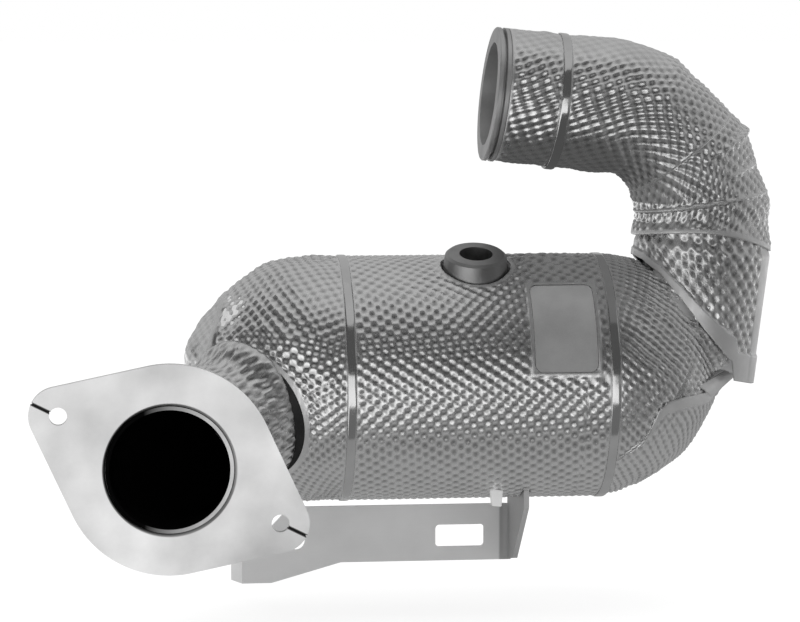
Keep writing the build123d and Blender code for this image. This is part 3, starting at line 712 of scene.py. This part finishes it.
# %% Foil over the outlet dome
shift_way = (plus_x - outlet_way * outlet_way.x).normalized()
shift_up = -outlet_way.cross(shift_way)
opening_radius = 32.7 * MM
opening_shift = shift_way * 4.7 * MM + shift_up * 4.3 * MM
opening_depth = sqrt(foil_radius ** 2 - opening_radius ** 2 - opening_shift.length_squared)
opening_pole = (opening_shift - outlet_way * opening_depth).normalized()
opening_angle = asin(opening_radius / foil_radius)
# The opening is that circle, widened on the left so that the neck fits through it.
neck_opening = 33.7 * MM
opening_circles = ((array(opening_pole), opening_angle),
                   (array(-outlet_way), asin(neck_opening / foil_radius)))
dome_columns = 400
pole, right, up = frame_of(opening_pole)
turn = ring_angles(dome_columns)[:, None]
away = np.cos(turn) * right + np.sin(turn) * up
edges = []
for circle_pole, circle_angle in opening_circles:
    level, lean = pole @ circle_pole, away @ circle_pole
    share = np.clip(cos(circle_angle) / np.hypot(level, lean), -1, 1)
    edges.append(np.arctan2(lean, level) + np.arccos(share))
opening_start = np.max(edges, axis=0)


def dome_distance(way):
    return (base_radius + lump(way, (-0.97, -0.05, 0.24), 3.6, 0.22)
            + lump(way, (-0.75, -0.3, 0.62), -1.2, 0.25) + lump(way, (-0.3, -0.2, 0.93), 1.0, 0.3))


ball = drape(dome_distance, [lambda p: -p[..., 0]], opening_pole, opening_start, 120, dome_columns)
run_rows = 17
run = ball[-1][None] + np.linspace(0, dome_run, run_rows + 1)[1:, None, None] * array(plus_x)
local = np.concatenate([ball, run])
points = local + array(dome_centre)
from_circles = [np.arccos(np.clip(unit(local) @ circle_pole, -1, 1)) - circle_angle
                for circle_pole, circle_angle in opening_circles]
to_opening = np.min(from_circles, axis=0) * foil_radius
to_rim = dome_run - local[..., 0]
# A plain margin at the far left, beyond a line that leans with the silhouette.
margin = local[..., 0] + 45 * MM + (38 * MM - local[..., 2]) * 0.34
strip = 1 - fade(np.abs(margin) - 0.8 * MM, 1.2 * MM)
relief = (fade(to_opening - 2 * MM, 2 * MM) * fade(to_rim - 2.4 * MM, 1.2 * MM) * (1 - strip)
          * (0.35 + 0.65 * fade(margin, 2 * MM)))
slack = fade(to_opening, 8 * MM) * fade(to_rim - 3 * MM, 9 * MM)
points = points + unit(local) * (0.8 * MM * strip)[..., None]
inside = np.stack([np.maximum(local[..., 0], 0), 0 * to_rim, 0 * to_rim], -1) + array(dome_centre)
lattice = azimuthal(points, dome_centre, (-0.6, -0.6, 0.5), (0.7, -0.7, 0))
dome_foil = sheet("dome_foil", points, inside, lattice, relief, slack, drop=0.8 * MM)
emboss(dome_foil, foil, *CAN_WAVES, depth=0.45 * MM, crumple=6 * MM, crumple_scale=42, warp=3 * MM, seed=7.0)
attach(dome_foil, "root")
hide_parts("outlet_dome_shield")

# The dark ring seen in the opening lies on the blanket, from the neck to under the foil's rim.
ring_radius = blanket_radius + 0.4 * MM
ring_start = asin(33.0 * MM / ring_radius)
neck_pole = array(-outlet_way)


def ring_distance(way):
    return ring_radius + 0 * way[..., 0]


def under_rim(place):
    way = unit(place)
    covered = opening_angle + 0.03 - np.arccos(np.clip(way @ array(opening_pole), -1, 1))
    narrow = ring_start + 0.02 - np.arccos(np.clip(way @ neck_pole, -1, 1))
    return np.maximum(covered, narrow)


local = drape(ring_distance, [under_rim], neck_pole, ring_start, 12, 240)
dark_ring = plain_sheet("dark_ring", local + array(dome_centre), array(dome_centre), 0.3 * MM)
dark_ring.data.materials.append(ring_finish)
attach(dark_ring, "root")
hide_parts("outlet_shield_ring")

# %% [markdown]
# The neck's foil follows the outlet pipe from the flange into the dome. It was pressed round
# a tight bend, so it is pleated and creased much more than the rest. It is made of rings
# round the pipe's line, because each pleat is then just a wave in a ring's radius.

# %% Foil round the outlet neck
def rings(middles, ways, radius, columns, right):
    """Rings of points round a line, one ring at each of its middles."""
    ways = unit(np.asarray(ways))
    right = unit(np.asarray(right) - ways * (ways @ np.asarray(right, float))[:, None])
    up = np.cross(ways, right)
    turn = ring_angles(columns)
    ring = np.cos(turn)[None, :, None] * right[:, None] + np.sin(turn)[None, :, None] * up[:, None]
    return middles[:, None] + ring * np.broadcast_to(radius, ring.shape[:2])[..., None]


def bent_route(start, corner, way, reach, bend, step):
    """Points, directions and distances along a line with one rounded corner."""
    start, corner, way = array(start), array(corner), array(way)
    first_way = unit(corner - start)
    turn = np.arccos(np.dot(first_way, way))
    tangent = bend * tan(turn / 2)
    straight = np.linalg.norm(corner - start) - tangent
    arc = bend * turn
    total = straight + arc + reach - tangent
    distance = np.linspace(0, total, int(total / step) + 1)[:, None]
    side_way = unit(way - first_way * np.dot(way, first_way))
    angle = np.clip(distance - straight, 0, arc) / bend
    ways = first_way * np.cos(angle) + side_way * np.sin(angle)
    places = (start + first_way * np.minimum(distance, straight)
              + bend * (first_way * np.sin(angle) + side_way * (1 - np.cos(angle)))
              + way * np.maximum(distance - straight - arc, 0))
    return places, ways, distance


places, ways, along = bent_route(Vector((0, 5.5, 0)) * MM, outlet_corner, outlet_way, 57 * MM,
                                 outlet_bend, 0.7 * MM)
turn = ring_angles(300)[None, :]
pleats = np.sin(turn * 34 + 1.0 * np.sin(along * 60 + turn * 2)) * fade(along - 3 * MM, 6 * MM)
creases = np.abs(np.sin(along * 230 + 1.6 * np.sin(turn * 3))) + fade(along - along[-1] + 14 * MM, 6 * MM)
# Up and to the left the foil is drawn out to the dome's rim. On the right it stays narrow and
# leaves the gap that is seen there. Angles run from the top over the right side.
rim_turns = (0, 20, 38, 48, 72, 95, 125, 180, 270, 360)
rim_radii = (40, 40, 40, 38.6, 35.3, 33.6, 33.4, 33, 33, 40)
rim_radius = np.interp(np.degrees(turn) % 360, rim_turns, rim_radii) * MM
left = along[-1] - along
plain_radius = (neck_radius - 0.5 * MM + 0.35 * MM * pleats * fade(left - 1 * MM, 6 * MM)
                + 0.4 * MM * np.clip(1 - creases, 0, 1) ** 3)
drawn = (1 - fade(left - 1 * MM, 17 * MM)) ** 1.5
radius = plain_radius + drawn * (rim_radius - neck_radius)
points = rings(places, ways, radius, 300, (0, 0, 1))
relief = fade(along - 4 * MM, 3 * MM) * (0.35 + 0.65 * fade(left - 1 * MM, 5 * MM)) + 0 * turn
slack = fade(along - 2 * MM, 6 * MM) + 0 * turn
neck_foil = sheet("neck_foil", points, places[:, None], flat_sheet(along, neck_radius * turn), relief, slack,
                  drop=0.7 * MM)
emboss(neck_foil, foil, (0.05, 0.24), (0.13, -0.19), depth=0.42 * MM, crumple=0.8 * MM, crumple_scale=30,
       warp=3 * MM, seed=11.0)
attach(neck_foil, "root")
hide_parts("outlet_neck_shield")

# %% [markdown]
# The inlet end: a foil drawn over both the can's rounded end and the foot of the drop, and a
# lower foil that laps over it. They part along a line that rises to the right. The form is
# the larger of two distances, the ball's and the pipe's, so the two join without a Boolean.

# %% Foil over the inlet hood
part_way = array((-sin(radians(32)), 0, cos(radians(32))))
part_point = array((51, 0, -6)) * MM
foot_local = array(inlet_foot - hood_centre)
drop = array(drop_way)
socket_depth = 42 * MM


def socket_distance(way):
    """How far the round foot of the drop reaches in each direction from the hood's middle."""
    radius = pipe_foil_radius - 0.5 * MM
    end = foot_local + drop * socket_depth
    end_dot = way @ end
    ball_part = end_dot ** 2 - end @ end + radius ** 2
    ball = np.where(ball_part > 0, end_dot + np.sqrt(np.maximum(ball_part, 0)), 0)
    flat_way = way - (way @ drop)[..., None] * drop
    flat_end = end - (end @ drop) * drop
    square = np.maximum(np.sum(flat_way ** 2, -1), 1e-9)
    dot = flat_way @ flat_end
    part = dot ** 2 - square * (flat_end @ flat_end - radius ** 2)
    tube = np.where(part > 0, (dot + np.sqrt(np.maximum(part, 0))) / square, 0)
    height = (tube[..., None] * way - end) @ drop
    return np.maximum(ball, np.where((height < 0) & (height > -socket_depth - 1 * MM), tube, 0))


def hood_distance(way):
    """The larger of the ball and the foot. The ball is beaten flat low on the right."""
    off = np.arccos(np.clip(way @ unit(np.array((0.67, 0.0, -0.74))), -1, 1))
    dent = 4.2 * MM * np.exp(-(off / 0.62) ** 4)
    ball = base_radius - dent + lump(way, (0.5, -0.25, 0.83), 2.6, 0.28)
    return np.maximum(ball, socket_distance(way))


# The lower foil laps up over the upper one at the front, by this much at each place across.
flap_places = (14, 18, 21.7, 26.4, 36, 46, 54)
flap_rises = (0, 6, 11.6, 12.2, 8.5, 3.5, 0)


def hood_half(name, node, side, pole, start, rows, columns, lap, seed):
    """One of the hood's foils: side is 1 above the parting and -1 below it."""
    def past_part(place):
        above = (place - part_point) @ part_way
        if side > 0:
            return above
        rise = np.interp(place[..., 0] / MM, flap_places, flap_rises) * MM
        return rise * fade(-place[..., 1] - 12 * MM, 10 * MM) - above
    local = drape(hood_distance, [lambda p: p[..., 0], past_part], pole, start, rows, columns, 24)
    from_part = past_part(local)
    from_rim = local[..., 0]
    # Only the right stretch of the parting is hemmed. On the left the two foils run on flush.
    hemmed = fade(from_rim - (30 if side > 0 else 14) * MM, 6 * MM)
    points = local + unit(local) * (lap * hemmed)[..., None] + array(hood_centre)
    relief = fade(from_rim - 2.4 * MM, 1.2 * MM) * (1 - hemmed * (1 - fade(from_part - 4.5 * MM, 1.5 * MM)))
    slack = fade(from_rim - 3 * MM, 9 * MM) * fade(from_part - 1 * MM, 5 * MM)
    inside = 0 * points + array(hood_centre)
    lattice = azimuthal(points, hood_centre, (0.5, -0.8, 0.2), (0.85, 0.5, 0))
    piece = sheet(name, points, inside, lattice, relief, slack, drop=0.7 * MM)
    emboss(piece, foil, (0.188, 0.192), (0.178, -0.146), depth=0.5 * MM, balance=0.3, crumple=5 * MM,
           crumple_scale=50, warp=4 * MM, seed=seed)
    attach(piece, "root")
    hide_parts(node)


hood_half("hood_foil_upper", "inlet_hood_shield_upper", 1, foot_local, radians(22.5), 150, 420, 0.0, 5.0)
hood_half("hood_foil_lower", "inlet_hood_shield_lower", -1, -part_way, radians(2), 80, 260, 0.9 * MM, 6.0)

# A folded tab of foil at the right end of the parting, bent up against the skirt's tip.
down_share, along_share = np.linspace(0, 1, 16)[:, None, None], np.linspace(0, 1, 26)[None, :, None]
tab_corners = ((44.2, -42.6, -1), (66.5, -15, 5.3), (52.9, -31.2, -8), (67.8, -16, 0.1))
tab_corners = [array(corner) * MM for corner in tab_corners]
upper_edge = tab_corners[0] * (1 - along_share) + tab_corners[1] * along_share
lower_edge = tab_corners[2] * (1 - along_share) + tab_corners[3] * along_share
points = upper_edge * (1 - down_share) + lower_edge * down_share + array(hood_centre)
points = points - array((0, 1.2 * MM, 0)) * np.sin(pi * down_share) * (1 - 0.4 * np.sin(3 * along_share))
tab_foil = sheet("folded_tab", points, points + array((0, 10 * MM, 0)), 0 * points, 0 * points[..., 0],
                 0.6 + 0 * points[..., 0], wrapped=False, drop=0.8 * MM)
emboss(tab_foil, foil, (0.1, 0), (0, 0.1), depth=0.0, crumple=3 * MM, crumple_scale=90, seed=9.0)
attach(tab_foil, "root")

# The blanket under them follows the same beaten shape, and stays outside the steel.
local = drape(hood_distance, [lambda p: p[..., 0]], foot_local, radians(22.5), 60, 160, 4)
blanket = local - unit(local) * 0.85 * MM
depth = np.clip(np.linalg.norm(blanket, axis=-1, keepdims=True) - 55.5 * MM, 0.2 * MM, 2.5 * MM)
hood_blanket = plain_sheet("hood_blanket", blanket + array(hood_centre), array(hood_centre), depth)
hood_blanket.data.materials.append(blanket_finish)
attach(hood_blanket, "root")
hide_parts("inlet_hood_insulation")

# %% [markdown]
# The skirt hangs from the elbow. Its lower rim is a curved slant with a smooth hem that gets
# wider towards the tip. Its rows of bumps draw together there. It is laid out by the angle
# round the pipe and the length down it, so the slant is simply where each column ends.

# %% Foil skirt round the drop
skirt_radius = 34.3 * MM
rim_arch = 6.5 * MM
# Lengths of the skirt in millimetres, by the angle from its outer side round to the can's side.
hem_turns = (0, 30, 56, 61, 67.5, 90, 112.5, 135, 157, 180)
hem_lengths = (66.5, 66, 64.5, 55, 52.5, 41, 27, 16, 11, 9.5)
hem_places = (0, 56, 61, 67.5, 90, 112.5, 135, 180)
hem_widths = (13, 14, 12, 10.5, 8, 5, 3, 3)
front_way = array((0, -1, 0))
out_way = np.cross(drop, front_way)
out_way = out_way * np.sign(out_way[0])


def skirt_half(name, node, start, end, seed):
    columns, rows = 150, 100
    turn = np.linspace(start, end, columns)
    ring = np.cos(turn)[:, None] * out_way + np.sin(turn)[:, None] * front_way
    length = np.interp(np.degrees(np.abs(turn)), hem_turns, hem_lengths) * MM
    top = -3 * MM - rim_arch * np.sin(turn) ** 2
    along = top + np.linspace(0, 1, rows)[:, None] * (length - top)
    radius = 32.5 * MM + (skirt_radius - 33 * MM) * fade(along + 2 * MM, 5 * MM)
    local = foot_local + ring[None] * radius[..., None] + along[..., None] * drop
    left = length[None, :] - along
    width = np.interp(np.degrees(np.abs(turn)), hem_places, hem_widths)[None, :] * MM
    hem = fade(left - width, 1.5 * MM)
    outward = np.broadcast_to(ring[None], local.shape)
    # The front half ends in a plain strip down its outer side.
    strip = 24 * MM - 0.05 * along if end > 0 else 4 * MM
    from_outer = np.abs(turn)[None, :] * skirt_radius - strip
    from_can = (pi - np.abs(turn))[None, :] * skirt_radius - 4 * MM
    seam = np.minimum(from_outer, from_can)
    plain = fade(seam, 1.5 * MM)
    local = local + outward * ((1 - hem) * 0.8 * MM + (1 - plain) * 0.4 * MM)[..., None]
    points = local + array(hood_centre)
    inside = foot_local + along[..., None] * drop + array(hood_centre)
    relief = hem * plain * fade(along - top, 2 * MM)
    slack = hem * fade(along, 6 * MM) * fade(seam + 1 * MM, 5 * MM)
    # Towards the tip the rows are packed closer round the skirt.
    across = skirt_radius * turn[None, :] * (1 + 0.3 * along / (66 * MM))
    lattice = flat_sheet(across, along)
    piece = sheet(name, points, inside, lattice, relief, slack, wrapped=False, drop=0.9 * MM)
    emboss(piece, foil, (0.135, 0.11), (0.135, -0.13), depth=0.43 * MM, facet=0.15,
           crumple=1.2 * MM, crumple_scale=40, warp=1.5 * MM, seed=seed)
    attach(piece, "root")
    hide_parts(node)


skirt_half("skirt_foil_front", "inlet_skirt_front", 0.0, pi, 21.0)
skirt_half("skirt_foil_back", "inlet_skirt_back", -pi, 0.0, 22.0)

# %% [markdown]
# The elbow is two lobes of foil beaten round the bend. Neither is quite round: the outside
# of the bend goes in flats between low corners, and the last rim flares over the skirt. The
# flats could be sculpted, but offsets at stations along the bend are easier to correct.

# %% Foil elbow and sleeve
elbow_arc = elbow_turn * elbow_bend
outs_start, forward = -array(run_down), array(run_way)
# How far the foil stands off its plain radius, outside and inside the bend, by the angle
# from the top of the bend in degrees.
bend_stations = (-20, 3, 17, 26.6, 34, 42.8, 51, 58, 59.6, 61.5, 72.8, 85.4, 91, 98)
outer_offsets = (0.9, 1.7, 1.3, 0.9, -2.2, -3.4, -2.8, -1.0, 1.0, -1.6, -3.3, 0.2, -1.2, 0.0)
inner_stations = (4, 22.7, 46, 62.8, 90, 98, 118)
inner_offsets = (0.2, -0.8, 0.6, 2.3, 3.0, 2.6, 0.0)


def elbow_line(distance):
    """Middles and outward directions at distances along the line; 0 is where the bend starts."""
    angle = np.clip(distance, 0, elbow_arc) / elbow_bend
    outs = np.cos(angle)[..., None] * outs_start + np.sin(angle)[..., None] * forward
    before, after = np.minimum(distance, 0), np.maximum(distance - elbow_arc, 0)
    middles = array(elbow_centre) + outs * elbow_bend + before[..., None] * forward + after[..., None] * drop
    return middles, outs


def round_pipe(middles, outs, turn, radius):
    """Points round the elbow's line, by the angle from the outside of the bend."""
    ring = np.cos(turn)[..., None] * outs + np.sin(turn)[..., None] * front_way
    return middles + ring * radius[..., None]


def lobe(name, node, start, end, seed, waves, bands, hems, dip=0.0, flare=0.0, beaten=4.5):
    """A tube of foil along the elbow. Bands are plain stripes: angle, half width, rise, how far round."""
    columns = 250
    turn = ring_angles(columns)[None, :]
    rim = end - dip * np.sin(turn) ** 2
    rows = int((end - start) * 1.35 / fine)
    distance = start + np.linspace(0, 1, rows)[:, None] * (rim - start)
    middles, outs = elbow_line(distance)
    from_top = np.degrees(run_slope + distance / elbow_bend)
    left = rim - distance
    radius = pipe_foil_radius - 0.5 * MM + offsets(from_top, turn) + flare * (1 - fade(left, 9 * MM))
    relief = fade(left - hems[1], 1.2 * MM) * fade(distance - start - hems[0], 1.2 * MM)
    reach = elbow_bend + pipe_foil_radius * np.cos(turn)
    for angle, half_width, rise, round_to in bands:
        off = np.abs(np.radians(from_top - angle)) * reach
        share = fade(round_to - np.minimum(turn, 2 * pi - turn), 0.4)
        relief = relief * (1 - share * (1 - fade(off - half_width, 1.0 * MM)))
        radius = radius + share * rise * (1 - fade(off, half_width + 1 * MM))
    points = round_pipe(middles, outs, turn, radius)
    across = (turn + pi) % (2 * pi) - pi
    bent = np.clip(distance, 0, elbow_arc)
    run = distance - bent + (bent - elbow_arc / 3) / elbow_bend * reach
    lattice = flat_sheet(run, pipe_foil_radius * across)
    # Along the top of the sleeve the relief was rolled nearly flat, and underneath it is weak.
    sleeve = fade(30 - from_top, 14)
    smooth = 0.75 * (1 - fade(np.abs(across) - 0.55, 0.4)) + 0.5 * fade(np.abs(across) - 2.1, 0.35)
    relief = relief * (1 - sleeve * smooth)
    slack = fade(np.minimum(left, distance - start) - 2 * MM, 8 * MM) + 0 * turn
    piece = sheet(name, points, middles, lattice, relief, slack, drop=0.7 * MM)
    emboss(piece, foil, *waves, depth=0.57 * MM, facet=0.2, crumple=beaten * MM, crumple_scale=44,
           warp=3 * MM, seed=seed)
    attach(piece, "root")
    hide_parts(node)


def offsets(from_top, turn):
    outer = np.interp(from_top, bend_stations, outer_offsets) * np.clip(np.cos(turn), 0, 1) ** 0.7
    inner = np.interp(from_top, inner_stations, inner_offsets) * np.clip(-np.cos(turn), 0, 1)
    return (outer + inner) * MM


PIPE_WAVES = (0.11, 0.195), (0.164, -0.156)
sleeve_from, sleeve_to = sleeve_start - run_straight, sleeve_end - run_straight
strap_hem, lap_hem = 2.4 * MM, 0.3 * MM
rim_end = elbow_arc + 6.3 * MM
lobe("sleeve_foil", "inlet_run_shield", sleeve_from, sleeve_to, 41.0, PIPE_WAVES, [], (1 * MM, strap_hem))
lobe("elbow_foil_first", "elbow_shield_first", sleeve_to, elbow_arc / 2, 31.0, PIPE_WAVES,
     [], (strap_hem, lap_hem))
lobe("elbow_foil_second", "elbow_shield_second", elbow_arc / 2, rim_end, 32.0, PIPE_WAVES,
     [(70.7, 0.5 * MM, 0.6 * MM, 1.5), (81, 0.4 * MM, 0.8 * MM, 4)], (lap_hem, 2.2 * MM), dip=rim_arch,
     flare=2 * MM, beaten=2)

# The blanket under the elbow gives way where the foil is beaten flat.
turn = ring_angles(120)[None, :]
distance = np.linspace(sleeve_from, rim_end, 160)[:, None] + 0 * turn
middles, outs = elbow_line(distance)
dents = offsets(np.degrees(run_slope + distance / elbow_bend), turn)
radius = pipe_foil_radius - 1.5 * MM + np.minimum(dents, 0)
points = round_pipe(middles, outs, turn, radius)
steel_radius = 27.05 * MM
pipe_blanket = plain_sheet("pipe_blanket", points, middles, (radius - steel_radius)[..., None])
pipe_blanket.data.materials.append(blanket_finish)
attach(pipe_blanket, "root")
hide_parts("inlet_pipe_insulation")

# %% [markdown]
# The three sprung straps: thin bright bands with their edges turned down a little. A bevelled
# tube would do, but the rings that made the neck also give the crown in one line.

# %% Straps
def strap(name, node, centre, axis, radius):
    across = np.linspace(-1, 1, 11)[:, None]
    places = array(centre) + across * 2.2 * MM * array(axis)
    ways = np.repeat(array(axis)[None], 11, 0)
    crown = radius - 0.25 * MM * across ** 6 + 0 * ring_angles(360)
    band = rings(places, ways, crown, 360, (0, 1, 0))
    piece = plain_sheet(name, band, places[:, None], 0.4 * MM)
    piece.data.materials.append(strap_finish)
    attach(piece, "root")
    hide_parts(node)
    print(name, "radius", round(radius / MM, 2), "mm")


for name, node, side in (("left_strap", "outlet_side_strap", -1), ("right_strap", "inlet_side_strap", 1)):
    strap(name, node, can_centre + plus_x * can_half * side, plus_x, foil_radius + 0.3 * MM)
strap("pipe_strap", "inlet_run_strap", inlet_face + run_way * sleeve_end, run_way,
      pipe_foil_radius + 1.2 * MM)

# %% [markdown]
# The flange's two slits look dark and not open, so two thin dark blocks fill them. Paint on
# the slits' walls alone would let the light through.

# %% Dark fill in the flange's slits
def block(name, corners, low_y, high_y, material, soften_by):
    """A plate with the given outline in millimetres, softened at its edges."""
    count = len(corners)
    verts = [Vector((x_mm, y_mm, z_mm)) * MM for y_mm in (low_y, high_y) for x_mm, z_mm in corners]
    faces = [tuple(range(count)), tuple(range(count, 2 * count))[::-1]]
    faces += [(i, i + count, (i + 1) % count + count, (i + 1) % count) for i in range(count)]
    piece = mesh_piece(name, verts, faces)
    area = sum(a[0] * b[1] - b[0] * a[1] for a, b in zip(corners, corners[1:] + corners[:1]))
    if area < 0:
        piece.data.flip_normals()
    soften = piece.modifiers.new("soften", "BEVEL")
    soften.width = soften_by
    soften.segments = 3
    bake(piece)
    piece.data.materials.append(material)
    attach(piece, "root")
    print(name, "faces", len(piece.data.polygons))
    return piece


ear_slope = -slit_slope
for name, side in (("left_slit_dark_fill", -1), ("right_slit_dark_fill", 1)):
    corners = [(side * reach_mm * cos(ear_slope) - across_mm * sin(ear_slope),
                side * reach_mm * sin(ear_slope) + across_mm * cos(ear_slope))
               for reach_mm, across_mm in ((62.2, -0.46), (71, -0.46), (71, 0.46), (62.2, 0.46))]
    block(name, corners, 0.9, 3.4, ring_finish, 0.1 * MM)

# %% [markdown]
# A small lug of folded sheet beside the gusset. It is the same kind of block as the slits'
# dark fill, with its edges softened more, as a sheet's pressed edges are.

# %% Small lug by the bracket
lug_corners = [(6.4, -51.8), (13.3, -53.2), (12.6, -61.5), (7.6, -61.0)]
lug_corners = [(x_mm + can_centre.x / MM, z_mm + can_centre.z / MM) for x_mm, z_mm in lug_corners]
lug_y = can_centre.y / MM
block("bracket_lug", lug_corners, lug_y - 29.5, lug_y - 27, bracket_finish, 0.6 * MM)

# %% [markdown]
# The camera stands where the photo's camera stood: level with the pipe, a little to the
# left, with a long lens. A long lens keeps the near flange and the far pipe in proportion.

# %% Camera
camera_data = bpy.data.cameras.new("photo_camera")
camera_data.lens = 135
camera_data.sensor_width = 36
camera_data.clip_end = 20
camera = bpy.data.objects.new("photo_camera", camera_data)
scene.collection.objects.link(camera)
look_side, look_up = radians(-6), radians(6)
back = Vector((sin(look_side) * cos(look_up), -cos(look_side) * cos(look_up), sin(look_up)))
right = Vector((cos(look_side), sin(look_side), 0))
up = back.cross(right)
camera_offset = Vector((-189.9, -1476.6, 189.1)) * MM
camera.location = can_centre + camera_offset
camera.rotation_euler = Matrix((right, up, back)).transposed().to_euler()
scene.camera = camera
scene.view_settings.view_transform = "Standard"
print("camera at", tuple(camera.location))

# %% [markdown]
# The object lies in a white room: the floor and the world are white to the camera and in
# the metal. Dark and grey cards stand out of the picture, seen only in the metal.

# %% Floor and world
def show_white(tree, surface, output, level=1.0, keep=0.0):
    """White to the camera, in mirrors and through glass; the plain surface for everything else.

    A share that is kept lets the surface's own shading, and so a shadow, show through the white.
    """
    path = tree.nodes.new("ShaderNodeLightPath")
    seen = path.outputs["Is Camera Ray"]
    for ray in ("Is Glossy Ray", "Is Transmission Ray"):
        seen = math_node(tree, "MAXIMUM", seen, path.outputs[ray])
    kind = "ShaderNodeEmission" if output.type == "OUTPUT_MATERIAL" else "ShaderNodeBackground"
    white = tree.nodes.new(kind)
    white.inputs["Color"].default_value = (1, 1, 1, 1)
    white.inputs["Strength"].default_value = level
    mix = tree.nodes.new("ShaderNodeMixShader")
    tree.links.new(math_node(tree, "MULTIPLY", seen, 1 - keep), mix.inputs[0])
    tree.links.new(surface, mix.inputs[1])
    tree.links.new(white.outputs[0], mix.inputs[2])
    tree.links.new(mix.outputs[0], output.inputs["Surface"])


def plane_piece(name, centre, right, up, width, height):
    centre, right, up = Vector(centre), Vector(right) * width / 2, Vector(up) * height / 2
    corners = [centre - right - up, centre + right - up, centre + right + up, centre - right + up]
    piece = mesh_piece(name, corners, [(0, 1, 2, 3)])
    return piece


floor_z = -0.088
floor_material, tree, shader = new_material("pale_floor")
shader.inputs["Base Color"].default_value = (0.85, 0.85, 0.85, 1)
shader.inputs["Roughness"].default_value = 0.9
shader.inputs["Specular IOR Level"].default_value = 0.0
output = next(node for node in tree.nodes if node.type == "OUTPUT_MATERIAL")
show_white(tree, shader.outputs[0], output, 1.16, 0.3)
floor = plane_piece("floor", (0.15, 0, floor_z), (1, 0, 0), (0, 1, 0), 40, 40)
floor.data.materials.append(floor_material)

world = bpy.data.worlds.new("studio")
scene.world = world
world.use_nodes = True
tree = world.node_tree
background = tree.nodes["Background"]
background.inputs["Color"].default_value = (1, 1, 1, 1)
background.inputs["Strength"].default_value = 0.85
output = next(node for node in tree.nodes if node.type == "OUTPUT_WORLD")
show_white(tree, background.outputs[0], output)
print("floor at", floor_z)

# %% [markdown]
# The cards. Polished foil shows what stands round it, so cards shape it better than lamps
# would. Each band of elevations, as seen from the object, gets its own grey.

# %% Cards that show in the metal
def card(name, points, faces, level):
    """A staged surface of one even brightness, seen only in mirrors."""
    material = bpy.data.materials.new(name)
    material.use_nodes = True
    tree = material.node_tree
    tree.nodes.clear()
    glow = tree.nodes.new("ShaderNodeEmission")
    glow.inputs["Color"].default_value = (level, level, level, 1)
    tree.links.new(glow.outputs[0], tree.nodes.new("ShaderNodeOutputMaterial").inputs["Surface"])
    piece = mesh_piece(name, points, faces)
    piece.data.materials.append(material)
    for ray in ("camera", "diffuse", "transmission", "shadow", "volume_scatter"):
        setattr(piece, "visible_" + ray, False)


def dome_band(name, low, high, level, reach=3.0, start=-110, end=110):
    """A band of a big ball round the object, between two elevations, about the front."""
    steps = 24
    points, faces = [], []
    for elevation in (low, high):
        for step in range(steps + 1):
            side = radians(start + (end - start) * step / steps)
            up = radians(elevation)
            points.append(can_centre + Vector((sin(side) * cos(up), -cos(side) * cos(up), sin(up))) * reach)
    for step in range(steps):
        faces.append((step, step + 1, step + steps + 2, step + steps + 1))
    card(name, points, faces, level)


dome_band("upper_front_card", 9, 55, 0.1, 3.0, -110, 45)
dome_band("upper_right_card", 9, 55, 0.35, 3.0, 45, 110)
dome_band("overhead_front_card", 55, 75, 0.5)
dome_band("top_card", 75, 89.9, 0.5, 3.0, -180, 180)
dome_band("back_card", -12, 75, 0.46, 3.0, 110, 250)
dome_band("right_card", -12, 9, 0.28, 2.9, 10.8, 110)
dome_band("left_card", -12, 9, 0.5, 2.9, -110, -50)


def level_card(name, corners, level, height):
    """A card lying flat at a height, with its corners given in metres."""
    card(name, [(x_m, y_m, height) for x_m, y_m in corners], [tuple(range(len(corners)))], level)


def rectangle(left, right, near, far):
    return [(left, near), (right, near), (right, far), (left, far)]


right_corners = [(0.3, -0.27), (0.82, -2.9), (2.9, -2.9), (2.9, -0.27)]
level_card("front_floor_card", rectangle(0.04, 1.5, -0.27, -0.04), 0.18, floor_z + 0.002)
level_card("near_floor_card", rectangle(-1.2, 1.5, -0.04, 0.69), 0.34, floor_z + 0.003)
level_card("right_floor_card", right_corners, 0.2, floor_z + 0.004)
level_card("shelf_card", rectangle(0.15, 0.42, -0.25, 0.02), 0.1, 0.066)
level_card("over_can_card", rectangle(0.165, 0.228, -0.02, 0.17), 0.1, 0.123)
level_card("under_sleeve_card", rectangle(0.177, 0.25, 0.0, 0.17), 0.19, 0.118)

# %% [markdown]
# One soft lamp overhead lights the dull pieces and gives the floor its faint shadow. Mirrors
# don't see it, because it would be one hard bright patch in every bump of the foil.

# %% Lamp overhead
lamp_data = bpy.data.lights.new("overhead", "AREA")
lamp_data.shape = "RECTANGLE"
lamp_data.size = 2.0
lamp_data.size_y = 1.5
lamp_data.energy = 22
lamp = bpy.data.objects.new("overhead", lamp_data)
scene.collection.objects.link(lamp)
lamp.location = (0.15, -0.3, 2.0)
lamp.visible_glossy = False
print("lamp at", tuple(lamp.location))
